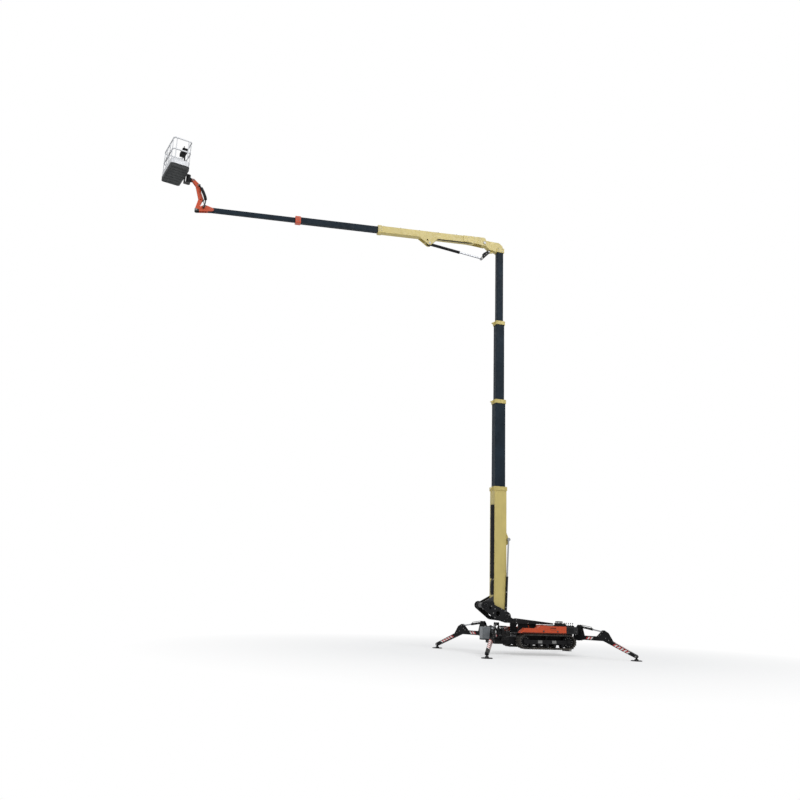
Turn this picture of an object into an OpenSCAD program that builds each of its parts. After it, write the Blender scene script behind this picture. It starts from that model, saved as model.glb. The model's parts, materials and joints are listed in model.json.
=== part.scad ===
// Tracked articulating boom lift on four outriggers, mast raised and boom out.
// Millimetres. Slew axis on the ground at the origin, +Z up, boom towards -X.

/* [Tracks] */
// length over the lugs
track_length = 2260; // [1900:10:2500]
// height over the lugs
track_height = 535; // [450:5:560]
// width of one rubber track
track_width = 370; // [260:5:400]
// distance between the track centre lines
track_gauge = 1368; // [1340:2:1500]
// middle of the tracks, from the slew axis
track_x = 590; // [450:5:650]
// height of the lugs over the ground
track_lift = 220; // [150:5:240]
// height of one lug
lug_height = 26; // [15:1:35]
// lugs around one track
lug_count = 58; // [40:2:70]
// thickness of the belt under the lugs
belt_wall = 30; // [20:1:40]
// bottom rollers in one track
roller_count = 5; // [3:1:6]

/* [Chassis] */
// front end of the frame
frame_front = -1300; // [-1400:10:-1200]
// rear end of the frame
frame_rear = 1950; // [1880:10:2050]
// half width of the frame
frame_half = 440; // [380:5:460]
// top of the frame
frame_top = 620; // [600:5:640]
// height of the frame
frame_height = 260; // [180:5:300]
// plate thickness of the frame
frame_wall = 25; // [15:1:35]
// radius of the slew ring
ring_radius = 470; // [420:5:480]
// height of the slew ring
ring_height = 60; // [40:1:62]
// radius of a lashing eye
eye_bore = 20; // [14:1:24]

/* [Hoods] */
// outer face of a hood, from the middle
hood_outer = 870; // [800:5:900]
// inner face of a hood, from the middle
hood_inner = 635; // [620:5:660]
// front end of a hood at its foot
hood_front = -500; // [-520:5:-400]
// rear end of a hood
hood_rear = 1800; // [1600:10:1820]
// underside of a hood
hood_base = 778; // [770:1:800]
// top of the low front of a hood
hood_low = 947; // [900:1:980]
// top of a hood
hood_top = 1040; // [1000:1:1050]
// wall of a hood
hood_wall = 6; // [4:1:12]

/* [Turret] */
// thickness of the turret plate
deck_thick = 60; // [40:1:64]
// radius of the turret plate
deck_radius = 485; // [440:5:490]
// inner face of a cheek, from the middle
cheek_inner = 330; // [328:1:345]
// thickness of a cheek
cheek_thick = 40; // [25:1:45]
// mast pivot, along X
pivot_x = -1640; // [-1660:5:-1620]
// mast pivot, height
pivot_z = 1690; // [1670:5:1710]
// radius of the mast pivot pin
pivot_pin = 45; // [35:1:55]
// foot pin of the mast cylinders, along X
hub_x = -812; // [-830:1:-800]
// foot pin of the mast cylinders, height
hub_z = 1323; // [1310:1:1340]

/* [Mast] */
// mast axis, along X
mast_x = -1005; // [-1020:1:-990]
// depth of the mast base along X
mast_depth = 500; // [480:2:510]
// width of the mast base along Y
mast_width = 460; // [440:2:462]
// how much less deep each next tube is
mast_depth_step = 78; // [60:1:85]
// how much narrower each next tube is
mast_width_step = 70; // [60:1:75]
// wall of a tube
tube_wall = 9; // [6:0.5:12]
// corner radius of a tube
tube_corner = 28; // [16:1:34]
// gap between a tube and the mouth that guides it
slide_gap = 0.3; // [0.2:0.05:0.5]
// length of the guiding mouth
mouth = 120; // [80:5:160]
// foot of the mast base
mast_foot = 1550; // [1545:1:1600]
// top of the mast base
mast_top = 6100; // [6000:10:6300]
// length of one inner mast tube
mast_tube = 4350; // [4300:10:4500]
// how much shorter each next mast tube is
mast_tube_step = 150; // [100:5:180]
// tube left inside the one below, mast raised
mast_inside = 900; // [800:10:950]
// height of a mast collar
collar = 150; // [100:5:180]
// overhang of a collar over its tube
collar_wall = 26; // [15:1:40]

/* [Boom] */
// boom pivot from the mast axis
knuckle_out = 715; // [700:1:730]
// boom pivot over the end of the last mast tube
knuckle_up = 200; // [190:1:215]
// droop of the boom below level
droop = 3; // [0:0.1:5]
// height of the boom base
boom_height = 290; // [280:2:310]
// width of the boom base
boom_width = 240; // [230:2:250]
// how much lower each next boom tube is
boom_height_step = 58; // [50:1:62]
// how much narrower each next boom tube is
boom_width_step = 52; // [48:1:56]
// middle of the boom tubes over the pivot line
boom_offset = 85; // [75:1:95]
// pivot to the start of the boom base
boom_start = 430; // [400:5:460]
// pivot to the mouth of the boom base
boom_mouth = 4550; // [4400:10:4700]
// length of one inner boom tube
boom_tube = 4100; // [4050:10:4200]
// tube left inside the one before, boom out
boom_inside = 800; // [700:10:900]
// radius of the boom pivot pin
knuckle_pin = 40; // [30:1:45]
// thickness of the boom's side plates
boom_plate = 20; // [14:1:22]

/* [Jib and basket] */
// jib pivot past the end of the last boom tube
jib_out = 420; // [400:5:450]
// height of the jib's top hinge over its pivot
jib_rise = 1190; // [1150:5:1250]
// how far the top hinge lies in front of the jib pivot
jib_lean = 220; // [180:5:260]
// radius of the jib's pins
jib_pin = 25; // [20:1:28]
// depth of the basket
basket_depth = 700; // [650:5:800]
// length of the basket
basket_length = 1400; // [1200:10:1800]
// height of the basket's rail
basket_height = 1100; // [1050:5:1150]
// radius of the rail tube
rail = 19; // [14:1:24]
// turn of the basket
basket_turn = 15; // [-30:1:30]
// height of the toe board
toe_board = 150; // [100:5:180]

/* [Outriggers] */
// pivots of the front legs, along X
leg_front = -1380; // [-1400:5:-1360]
// pivots of the rear legs, along X
leg_rear = 2050; // [2040:5:2080]
// leg pivots from the middle
leg_side = 720; // [710:5:740]
// height of the leg pivots
leg_z = 670; // [660:1:680]
// direction of a leg in plan, from the X axis
leg_turn = 59; // [54:1:62]
// pivot to the middle of the foot
leg_reach = 2110; // [2000:10:2200]
// width of a leg
leg_width = 116; // [100:2:118]
// height of the leg's inner arm
leg_height = 150; // [120:2:170]
// pivot to the knee
knee = 900; // [860:5:920]
// radius of a leg pin
leg_pin = 30; // [20:1:36]
// radius of a foot plate
foot_radius = 190; // [150:5:220]

/* [Cylinders] */
// outer radius of a mast cylinder
mast_barrel_r = 43; // [38:1:44]
// rod radius of a mast cylinder
mast_rod_r = 30; // [22:1:34]
// radial clearance of a rod or pin in its bore
fit = 0.05; // [0.02:0.01:0.1]
// outer radius of the boom cylinder
boom_barrel_r = 58; // [50:1:62]
// rod radius of the boom cylinder
boom_rod_r = 36; // [28:1:42]
// outer radius of the jib cylinder
jib_barrel_r = 36; // [30:1:38]
// rod radius of the jib cylinder
jib_rod_r = 18; // [14:1:22]
// outer radius of a leg cylinder
leg_barrel_r = 42; // [36:1:44]
// rod radius of a leg cylinder
leg_rod_r = 24; // [18:1:30]

/* [Hidden] */
$fn = 48;

// colours
black = [0.06, 0.06, 0.065];
orange = [0.93, 0.30, 0.03];
yellow = [0.93, 0.72, 0.30];
dark = [0.07, 0.08, 0.12];
steel = [0.75, 0.75, 0.77];
grey = [0.55, 0.57, 0.58];
rubber = [0.10, 0.10, 0.10];

// track values
track_z = track_lift + track_height / 2;
lug_r = track_height / 2;
belt_r = lug_r - lug_height;
belt_in = belt_r - belt_wall;
straight = track_length - track_height;
loop = 2 * straight + 2 * PI * belt_r;

// slew values
ring_top = frame_top + ring_height;
deck_top = ring_top + deck_thick;
cheek_outer = cheek_inner + cheek_thick;
sweep_z = 1085;

// mast values
function depth(i) = mast_depth - i * mast_depth_step;
function width(i) = mast_width - i * mast_width_step;
function mast_start(i) = i == 0 ? mast_foot : mast_end(i - 1) - mast_inside;
function mast_end(i) = i == 0 ? mast_top : mast_start(i) + mast_tube - (i - 1) * mast_tube_step;
mast_back = mast_x + mast_depth / 2;
mast_front = mast_x - mast_depth / 2;
head_z = mast_end(3);
lug_x = mast_back + 55;
lug_z = mast_foot + 2563;
cyl_y = (mast_width / 2 + cheek_inner) / 2;
ear = 20;

// knuckle values, in the boom's own frame the boom runs along -X from its pivot
knuckle = [mast_x - knuckle_out, head_z + knuckle_up];
rocker_at = [knuckle[0] + 220, knuckle[1] - 330];
rocker_end = [knuckle[0] - 80, knuckle[1] - 664];
function boom_h(i) = boom_height - i * boom_height_step;
function boom_w(i) = boom_width - i * boom_width_step;
function boom_from(i) = i == 0 ? boom_start : boom_to(i - 1) - boom_inside;
function boom_to(i) = i == 0 ? boom_mouth : boom_from(i) + boom_tube;
belly = [2390, -270];
tip_u = boom_to(2);
jib_u = tip_u + jib_out;
lug_u = tip_u + jib_out - 320;
tip_lug_w = 190;
boom_cos = cos(droop);
boom_sin = sin(droop);
function in_boom(u, w) = [knuckle[0] - u * boom_cos - w * boom_sin, knuckle[1] - u * boom_sin + w * boom_cos];
belly_at = in_boom(belly[0], belly[1]);
jib_at = [round(in_boom(jib_u, 17)[0]), round(in_boom(jib_u, 17)[1])];
tip_lug = in_boom(lug_u, tip_lug_w);
hinge = [jib_at[0] - jib_lean, jib_at[1] + jib_rise];
jib_bend = [jib_at[0] + 120, jib_at[1] + 450];
jib_eye = [jib_at[0] - 30, jib_at[1] + 1020];
swivel_x = hinge[0] - 190;
floor_z = hinge[1] + 90;
basket_off = basket_depth / 2 + 150;
basket_corner = 110;
floor_top = 45;
post_r = rail - 2;

// outrigger values, in a leg's own frame: s outward, z over the pivot
leg_root = [-100, 390];
leg_eye = [knee - 40, 240];
foot_ball = 150;
bracket_in = leg_width / 2 + 6;
bracket_out = bracket_in + 22;

// flat helpers
module rrect(a, b, r) {
    square([a - 2 * r, b], center = true);
    square([a, b - 2 * r], center = true);
    for (x = [-1, 1], y = [-1, 1]) translate([x * (a / 2 - r), y * (b / 2 - r)]) circle(r);
}
module link(a, ra, b, rb) {
    d = norm(b - a);
    t = atan2(b[1] - a[1], b[0] - a[0]);
    k = acos((ra - rb) / d);
    // the flanks end a hair inside the circles, so that the outline closes
    qa = ra - 0.1;
    qb = rb - 0.1;
    translate(a) circle(ra);
    translate(b) circle(rb);
    polygon([a + qa * [cos(t + k), sin(t + k)], b + qb * [cos(t + k), sin(t + k)],
        b + qb * [cos(t - k), sin(t - k)], a + qa * [cos(t - k), sin(t - k)]]);
}
// an outline in XZ drawn out from y0 to y1
module slab(y0, y1) translate([0, y1, 0]) rotate([90, 0, 0]) linear_extrude(y1 - y0) children();
module pair(y0, y1) { slab(y0, y1) children(); slab(-y1, -y0) children(); }
module block(x0, x1, y0, y1, z0, z1) translate([x0, y0, z0]) cube([x1 - x0, y1 - y0, z1 - z0]);
module pin(at, r, y0, y1) slab(y0, y1) translate(at) circle(r);

// a square tube along +Z whose mouth guides the next tube
module mast_section(i) translate([mast_x, 0, mast_start(i)]) {
    h = mast_end(i) - mast_start(i);
    difference() {
        linear_extrude(h) rrect(depth(i), width(i), tube_corner);
        if (i < 3) {
            translate([0, 0, -1]) linear_extrude(h - mouth + 1) rrect(depth(i) - 2 * tube_wall, width(i) - 2 * tube_wall, tube_corner - tube_wall);
            translate([0, 0, h - mouth - 1]) linear_extrude(mouth + 2) rrect(depth(i + 1) + 2 * slide_gap, width(i + 1) + 2 * slide_gap, tube_corner + slide_gap);
        } else translate([0, 0, -1]) linear_extrude(h + 2) rrect(depth(i) - 2 * tube_wall, width(i) - 2 * tube_wall, tube_corner - tube_wall);
    }
}
module in_boom_frame() translate([knuckle[0], 0, knuckle[1]]) rotate([0, -droop, 0]) children();
module boom_section(i) in_boom_frame() translate([-boom_from(i), 0, boom_offset]) rotate([0, -90, 0]) {
    l = boom_to(i) - boom_from(i);
    difference() {
        linear_extrude(l) rrect(boom_h(i), boom_w(i), tube_corner / 2);
        if (i < 2) {
            translate([0, 0, -1]) linear_extrude(l - mouth + 1) rrect(boom_h(i) - 2 * tube_wall, boom_w(i) - 2 * tube_wall, 4);
            translate([0, 0, l - mouth - 1]) linear_extrude(mouth + 2) rrect(boom_h(i + 1) + 2 * slide_gap, boom_w(i + 1) + 2 * slide_gap, tube_corner / 2 + slide_gap);
        } else translate([0, 0, -1]) linear_extrude(l + 2) rrect(boom_h(i) - 2 * tube_wall, boom_w(i) - 2 * tube_wall, 4);
    }
}

// a cylinder from a to b in XZ, local X along it
module along(a, b, y = 0) translate([a[0], y, a[1]]) rotate([0, -atan2(b[1] - a[1], b[0] - a[0]), 0]) children();
module barrel(length, r, rod_r, eye_r, pin_r, half) difference() {
    union() {
        slab(-half, half) circle(eye_r);
        rotate([0, 90, 0]) cylinder(r = r, h = length);
        translate([length - 60, 0, 0]) rotate([0, 90, 0]) cylinder(r = r + 3, h = 60);
    }
    slab(-half - 1, half + 1) circle(pin_r + fit);
    translate([eye_r + 6, 0, 0]) rotate([0, 90, 0]) cylinder(r = rod_r + fit, h = length);
}
module rod(from, to, r, eye_r, half) {
    translate([from, 0, 0]) rotate([0, 90, 0]) cylinder(r = r, h = to - from);
    translate([to, 0, 0]) slab(-half, half) circle(eye_r);
}

// tracks
function on_loop(t) = let (q = t % loop, arc = PI * belt_r)
    q < straight ? [q - straight / 2, belt_r, 90]
    : q < straight + arc ? let (a = 90 - (q - straight) / belt_r * 180 / PI) [straight / 2 + belt_r * cos(a), belt_r * sin(a), a]
    : q < 2 * straight + arc ? [straight / 2 - (q - straight - arc), -belt_r, 270]
    : let (a = 270 - (q - 2 * straight - arc) / belt_r * 180 / PI) [-straight / 2 + belt_r * cos(a), belt_r * sin(a), a];
function lug(t, h) = let (p = on_loop(t)) [p[0] + h * cos(p[2]), p[1] + h * sin(p[2])];
module stadium(r) {
    square([straight, 2 * r], center = true);
    for (x = [-1, 1]) translate([x * straight / 2, 0]) circle(r);
}
module belt_half(y0, y1, shift) slab(y0, y1) translate([track_x, track_z]) difference() {
    pitch = loop / lug_count;
    polygon([for (i = [0 : lug_count - 1]) let (t = (i + shift) * pitch)
        each [lug(t, 0), lug(t + pitch * 0.08, lug_height), lug(t + pitch * 0.42, lug_height), lug(t + pitch * 0.5, 0)]]);
    stadium(belt_in);
}
module track(side) {
    y = side * track_gauge / 2;
    belt_half(y - track_width / 2, y, 0);
    belt_half(y, y + track_width / 2, 0.5);
}
module track_frame(side) translate([track_x, side * track_gauge / 2, track_z]) {
    beam = track_width * 0.3;
    half = straight / 2;
    roller_r = 58;
    roller_z = -belt_in + roller_r + slide_gap;
    wheel_r = belt_in - slide_gap;
    block(-half, half, -beam, beam, -80, 60);
    for (x = [-half, half]) difference() {
        union() {
            pin([x, 0], wheel_r, -beam * 0.45 + 12, beam * 0.45 - 12);
            pin([x, 0], wheel_r - 45, -beam * 0.8, beam * 0.8);
            pin([x, 0], 78, -beam - 30, beam + 40);
        }
        for (a = [0 : 60 : 300]) translate([x + 112 * cos(a), 0, 112 * sin(a)]) pin([0, 0], 22, -beam, -beam * 0.8 + 30);
        for (a = [0 : 60 : 300]) translate([x + 112 * cos(a), 0, 112 * sin(a)]) pin([0, 0], 22, beam * 0.8 - 30, beam);
    }
    span = straight - 2 * wheel_r - 60;
    for (i = [0 : roller_count - 1]) {
        x = -span / 2 + i * span / (roller_count - 1);
        pin([x, roller_z], roller_r, -beam * 0.75, beam * 0.75);
        pin([x, roller_z], 20, -beam - 14, beam + 14);
        pair(beam - 4, beam + 10) polygon([[x - 60, -70], [x + 60, -70], [x + 34, roller_z - 24], [x - 34, roller_z - 24]]);
    }
    pin([0, belt_in - 45 - slide_gap], 45, -beam * 0.6, beam * 0.6);
    slab(-20, 20) translate([-25, 50]) square([50, belt_in - 90]);
}

// chassis
module at_leg(front, side) translate([front ? leg_front : leg_rear, side * leg_side, leg_z])
    rotate([0, 0, front ? 180 - side * leg_turn : side * leg_turn]) children();
module leg_bracket() {
    pair(bracket_in, bracket_out) difference() {
        union() {
            link([-90, 0], 100, [0, 0], 85);
            polygon([[-370, -110], [-60, -110], [-20, -84], [70, 40], [-20, leg_root[1]], [-100, leg_root[1] + 62], [-180, leg_root[1]], [-330, 30]]);
            translate(leg_root) circle(62);
        }
        translate([-190, 110]) circle(55);
        translate([-115, 235]) circle(42);
    }
    pin([0, 0], leg_pin, -bracket_out - 10, bracket_out + 10);
    pin(leg_root, leg_pin, -bracket_out - 10, bracket_out + 10);
    for (y = [-1, 1]) pin(leg_root, 46, min(y * bracket_in, y * (leg_barrel_r + 1)), max(y * bracket_in, y * (leg_barrel_r + 1)));
    block(-370, -250, -bracket_in - 1, bracket_in + 1, -110, -60);
}
module chassis_frame() color(black) {
    difference() {
        block(frame_front, frame_rear, -frame_half, frame_half, frame_top - frame_height, frame_top);
        block(frame_front + frame_wall, frame_rear - frame_wall, -frame_half + frame_wall, frame_half - frame_wall, frame_top - frame_height - 1, frame_top - frame_wall);
    }
    for (x = [-straight * 0.28, straight * 0.28], s = [-1, 1])
        block(track_x + x - 90, track_x + x + 90, s > 0 ? frame_half - 10 : -track_gauge / 2 + track_width * 0.3, s > 0 ? track_gauge / 2 - track_width * 0.3 : -frame_half + 10, track_z - 70, track_z + 55);
    for (f = [true, false], s = [-1, 1]) at_leg(f, s) leg_bracket();
    // shelf under the cabinet
    block(-1880, frame_front + 10, -640, -400, 500, 540);
    // lashing eyes
    for (s = [-1, 1]) {
        pad = s * 250;
        slab(pad - 12, pad + 12) difference() {
            link([frame_rear + 60, 470], 50, [frame_rear - 10, 470], 70);
            translate([frame_rear + 60, 470]) circle(eye_bore);
        }
    }
    // posts beside the tracks that carry the hoods
    for (s = [-1, 1], x = [hood_front + 60, hood_rear - 300]) {
        block(x - 30, x + 30, min(s * (frame_half - 10), s * (frame_half + 40)), max(s * (frame_half - 10), s * (frame_half + 40)), frame_top - 60, hood_base);
        block(x - 30, x + 30, min(s * (frame_half - 10), s * (hood_inner + 70)), max(s * (frame_half - 10), s * (hood_inner + 70)), hood_base - 16, hood_base);
    }
}
module hood(side) color(orange) {
    y0 = side > 0 ? hood_inner : -hood_outer;
    y1 = side > 0 ? hood_outer : -hood_inner;
    top = [[hood_front, hood_base], [hood_rear, hood_base], [hood_rear + 10, hood_top - 40], [hood_rear - 40, hood_top], [290, hood_top], [150, hood_low], [hood_front + 200, hood_low], [hood_front + 60, hood_base + 70]];
    inside = [[hood_front + 60, hood_base + hood_wall], [hood_rear - hood_wall, hood_base + hood_wall], [hood_rear - hood_wall, hood_top - 44], [hood_rear - 44, hood_top - hood_wall], [294, hood_top - hood_wall], [154, hood_low - hood_wall], [hood_front + 204, hood_low - hood_wall], [hood_front + 70, hood_base + 66]];
    difference() {
        slab(y0, y1) polygon(top);
        slab(y0 + hood_wall, y1 - hood_wall) polygon(inside);
        // panel joints and a grille of slots in the outer face
        for (x = [560, 1130]) slab(side * hood_outer - 3, side * hood_outer + 3) translate([x, hood_base + 30]) square([8, hood_top - hood_base - 60]);
        for (i = [0 : 5]) slab(min(side * (hood_outer - 20), side * (hood_outer + 3)), max(side * (hood_outer - 20), side * (hood_outer + 3))) translate([1330, hood_base + 60 + i * 26]) square([300, 12]);
    }
}
module engine_block() color(black) {
    block(700, 1450, -hood_outer + 40, -hood_inner - 40, hood_base + hood_wall, hood_top - 60);
    block(350, 1500, hood_inner + 30, hood_outer - 30, hood_base + hood_wall, hood_low - 30);
}
module cabinet() color(grey) difference() {
    block(-1880, -1500, -680, -400, 540, 944);
    slab(-681, -677) translate([-1850, 580]) square([320, 4]);
    slab(-681, -677) translate([-1850, 900]) square([320, 4]);
    slab(-681, -677) translate([-1850, 580]) square([4, 324]);
    slab(-681, -672) translate([-1560, 720]) square([14, 80]);
}
module lever_bank() color(black) {
    y = -hood_inner - 60;
    block(1290, 1720, y - 40, y + 40, hood_top, hood_top + 36);
    for (i = [0 : 4]) translate([1330 + i * 85, y, hood_top + 36]) {
        cylinder(r = 18, h = 14);
        rotate([0, 8, 0]) cylinder(r = 7, h = 80);
        translate([11, 0, 78]) sphere(r = 20, $fn = 20);
    }
}
module slew_ring() color(steel) difference() {
    translate([0, 0, frame_top]) cylinder(r = ring_radius, h = ring_height, $fn = 72);
    translate([0, 0, frame_top - 1]) cylinder(r = ring_radius - 90, h = ring_height + 2, $fn = 72);
}

// turret
module turret_deck() color(black) {
    translate([0, 0, ring_top]) cylinder(r = deck_radius, h = deck_thick, $fn = 72);
}
module cheek(side) color(black) difference() {
    p = [pivot_x, pivot_z];
    h = [hub_x, hub_z];
    y0 = side > 0 ? cheek_inner : -cheek_outer;
    y1 = side > 0 ? cheek_outer : -cheek_inner;
    union() {
        slab(y0, y1) link(p, 150, h + [-330, 90], 230);
        slab(y0, y1) link(h + [-330, 90], 230, h, 170);
        slab(y0, y1) translate(p + [250, 60]) circle(100);
        slab(y0, y1) polygon([[-300, deck_top], [300, deck_top], [360, deck_top + 60], [360, sweep_z + 30], [-560, 1250], h + [0, 100], h + [-140, -130], [-560, sweep_z], [-360, sweep_z], [-360, deck_top + 60]]);
        slab(y0, y1) polygon([[300, sweep_z], [1000, sweep_z], [1000, sweep_z + 45], [300, sweep_z + 118]]);
    }
    for (c = [[h + [-330, 90], 95], [(p + h) / 2 + [-230, 110], 60], [[0, 960], 110], [[-560, 1165], 38], [p, pivot_pin + fit], [h, pivot_pin + fit]])
        pin(c[0], c[1], y0 - 1, y1 + 1);
}
module turret_covers() color(black)
    pair(cheek_outer, cheek_outer + 85) polygon([[-520, sweep_z], [1000, sweep_z], [1030, sweep_z + 25], [1000, sweep_z + 55], [-500, 1275], [-540, 1240]]);
module mast_pin() color(steel) {
    pin([pivot_x, pivot_z], pivot_pin, -cheek_outer - 22, cheek_outer + 22);
    pair(cheek_outer, cheek_outer + 22) translate([pivot_x, pivot_z]) circle(pivot_pin + 25);
    pair(mast_width / 2 + 6, cheek_outer + 20) translate([hub_x, hub_z]) circle(pivot_pin);
    pair(cheek_outer, cheek_outer + 20) translate([hub_x, hub_z]) circle(pivot_pin + 30);
}
mast_cyl_half = (cheek_inner - mast_width / 2) / 2 - 7;
mast_cyl_len = norm([lug_x - hub_x, lug_z - hub_z]);
module mast_barrels() color(black) for (s = [-1, 1]) along([hub_x, hub_z], [lug_x, lug_z], s * cyl_y)
    barrel(1420, mast_barrel_r - 3, mast_rod_r, 78, pivot_pin, mast_cyl_half);
module mast_rods() color(steel) for (s = [-1, 1]) along([hub_x, hub_z], [lug_x, lug_z], s * cyl_y)
    rod(1240, mast_cyl_len, mast_rod_r, 62, mast_cyl_half);

// mast
module mast_base() color(yellow) {
    difference() {
        union() {
            mast_section(0);
            pair(mast_width / 2 - 30, mast_width / 2) union() {
                link([pivot_x, pivot_z], 120, [mast_front + 60, mast_foot + 420], 90);
                polygon([[pivot_x, pivot_z - 120], [mast_front + 40, mast_foot], [mast_front + 40, mast_foot + 500], [pivot_x + 40, pivot_z + 112]]);
            }
            pin([pivot_x, pivot_z], 92, -cheek_inner + 6, cheek_inner - 6);
            // mouth collar with its hose guide
            difference() {
                translate([mast_x, 0, mast_top - collar]) linear_extrude(collar) rrect(mast_depth + 2 * collar_wall, mast_width + 2 * collar_wall, tube_corner + collar_wall);
                translate([mast_x, 0, mast_top - collar - 1]) linear_extrude(collar + 2) rrect(mast_depth - 2, mast_width - 2, tube_corner - 1);
            }
            slab(-60, 60) polygon([[mast_front - 20, mast_top - collar], [mast_front - 20, mast_top], [mast_front - 105, mast_top - collar / 2]]);
            // lug that the mast cylinders push
            slab(-mast_width / 2, mast_width / 2) polygon([[mast_back - 4, lug_z - 210], [mast_back + 30, lug_z - 190], [lug_x + 55, lug_z - 30], [lug_x + 60, lug_z + 20], [lug_x + 20, lug_z + 60], [mast_back - 4, lug_z + 240]]);
        }
        pin([pivot_x, pivot_z], pivot_pin + fit, -cheek_inner, cheek_inner);
    }
}
module hose_tray() color(black) {
    block(mast_front - 105, mast_front, -mast_width / 2 + 10, -mast_width / 2 + 130, mast_foot + 1110, mast_top - 710);
    block(mast_front - 70, mast_front, -mast_width / 2 + 20, -mast_width / 2 + 160, mast_foot + 530, mast_foot + 1050);
    for (z = [mast_foot + 1210 : 420 : mast_top - 800]) block(mast_front - 118, mast_front, -mast_width / 2 + 2, -mast_width / 2 + 138, z, z + 36);
}
module collar_ring(i) difference() {
    z = mast_end(i);
    union() {
        translate([mast_x, 0, z - collar]) linear_extrude(collar) rrect(depth(i) + 2 * collar_wall, width(i) + 2 * collar_wall, tube_corner + collar_wall);
        slab(-50, 50) polygon([[mast_x - depth(i) / 2 - 20, z - collar], [mast_x - depth(i) / 2 - 20, z], [mast_x - depth(i) / 2 - 150, z - collar / 2]]);
        slab(-30, 30) translate([mast_x + depth(i) / 2 + 10, z - collar + 20]) square([60, collar - 40]);
    }
    translate([mast_x, 0, z - collar - 1]) linear_extrude(collar + 2) rrect(depth(i), width(i), tube_corner);
}
module mast_tube_1() color(dark) mast_section(1);
module mast_tube_2() color(dark) mast_section(2);
module mast_tube_3() color(dark) mast_section(3);
module mast_collar_1() color(yellow) collar_ring(1);
module mast_collar_2() color(yellow) collar_ring(2);
lug_half = boom_width / 2 - 6;
module mast_head() color(yellow) difference() {
    union() {
        // cap on the last tube
        translate([mast_x, 0, head_z - 110]) linear_extrude(190) rrect(depth(3) + 70, width(3) + 40, tube_corner);
        slab(-lug_half, lug_half) polygon([[mast_x - 170, head_z - 100], [mast_x + 110, head_z + 60], [mast_x + 100, head_z + 180], [mast_x - 60, head_z + 310], [mast_x - 300, head_z + 310], [mast_x - 300, head_z - 80]]);
        slab(-lug_half, lug_half) polygon([[mast_x - 290, head_z - 80], [mast_x - 290, head_z + 310], [knuckle[0], knuckle[1] + 120], [knuckle[0] + 60, knuckle[1] - 105], [rocker_at[0] + 20, rocker_at[1] + 70]]);
        pin(knuckle, 120, -lug_half, lug_half);
        pin(knuckle, knuckle_pin, -boom_width / 2 - boom_plate - 12, boom_width / 2 + boom_plate + 12);
        // ears of the rocker
        slab(-36, 36) link(rocker_at, 55, [rocker_at[0] + 150, rocker_at[1] + 60], 80);
        pin(rocker_at, 28, -70, 70);
    }
    // seat of the last tube
    translate([mast_x, 0, head_z - 400]) linear_extrude(400) rrect(depth(3), width(3), tube_corner);
}
module rocker() color(black) pair(42, 64) difference() {
    union() {
        link(rocker_at, 62, rocker_end, 50);
        link(rocker_at, 62, (rocker_at + rocker_end) / 2 + [-60, 40], 40);
    }
    translate(rocker_at) circle(28 + fit);
}

// boom, drawn along -X from its pivot and then tilted by the droop
boom_side = boom_width / 2;
module boom_base() color(yellow) {
    boom_section(0);
    in_boom_frame() {
        bottom = boom_offset - boom_height / 2;
        top = boom_offset + boom_height / 2;
        pair(boom_side, boom_side + boom_plate) difference() {
            union() {
                circle(125);
                polygon([[60, -110], [60, top - 60], [0, top], [-boom_start - 500, top], [-boom_start - 500, bottom + 30], [-boom_start, bottom - 10], [-60, -115]]);
            }
            circle(knuckle_pin + fit);
        }
        // belly that carries the boom cylinder
        pair(boom_side - 40, boom_side) difference() {
            polygon([[-2040, bottom + 20], [-2330, belly[1] - 70], [-2440, belly[1] - 70], [-2840, bottom + 20]]);
            translate([-2480, -150]) circle(40);
        }
        pin([-belly[0], belly[1]], 32, -boom_side, boom_side);
        // mouth collar
        difference() {
            translate([-boom_mouth + collar, 0, boom_offset]) rotate([0, -90, 0]) linear_extrude(collar) rrect(boom_height + 2 * collar_wall - 12, boom_width + 2 * collar_wall - 12, tube_corner);
            translate([-boom_mouth + collar + 1, 0, boom_offset]) rotate([0, -90, 0]) linear_extrude(collar + 2) rrect(boom_height - 2, boom_width - 2, tube_corner / 2 - 1);
        }
    }
}
module boom_tube_1() color(dark) boom_section(1);
module boom_tube_2() color(dark) boom_section(2);
module boom_collar() color(orange) in_boom_frame() translate([-boom_to(1) + collar + 60, 0, boom_offset]) rotate([0, -90, 0]) difference() {
    linear_extrude(collar + 60) rrect(boom_h(1) + 2 * collar_wall, boom_w(1) + 2 * collar_wall, tube_corner);
    translate([0, 0, -1]) linear_extrude(collar + 62) rrect(boom_h(1), boom_w(1), tube_corner / 2);
}
tip_in = boom_w(2) / 2;
tip_out = tip_in + 18;
module boom_tip() color(orange) {
    in_boom_frame() {
        pair(tip_in, tip_out) {
            link([-tip_u + 150, boom_offset], 70, [-lug_u, tip_lug_w - 40], 90);
            link([-lug_u, tip_lug_w - 40], 90, [-jib_u, 17], 62);
            link([-tip_u + 150, boom_offset], 70, [-jib_u, 17], 62);
        }
        slab(-tip_out, tip_out) translate([-tip_u - 30, boom_offset - 85]) square([30, 170]);
        pair(tip_out, tip_out + 10) translate([-lug_u, tip_lug_w]) circle(32);
    }
    pin(jib_at, jib_pin, -tip_out - 10, tip_out + 10);
}
boom_cyl_len = norm(rocker_end - belly_at);
module boom_barrel() color(black) along(belly_at, rocker_end)
    barrel(1330, boom_barrel_r, boom_rod_r, 70, 32, 62);
module boom_rod() color(steel) along(belly_at, rocker_end)
    rod(740, boom_cyl_len, boom_rod_r, 46, 34);

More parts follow.
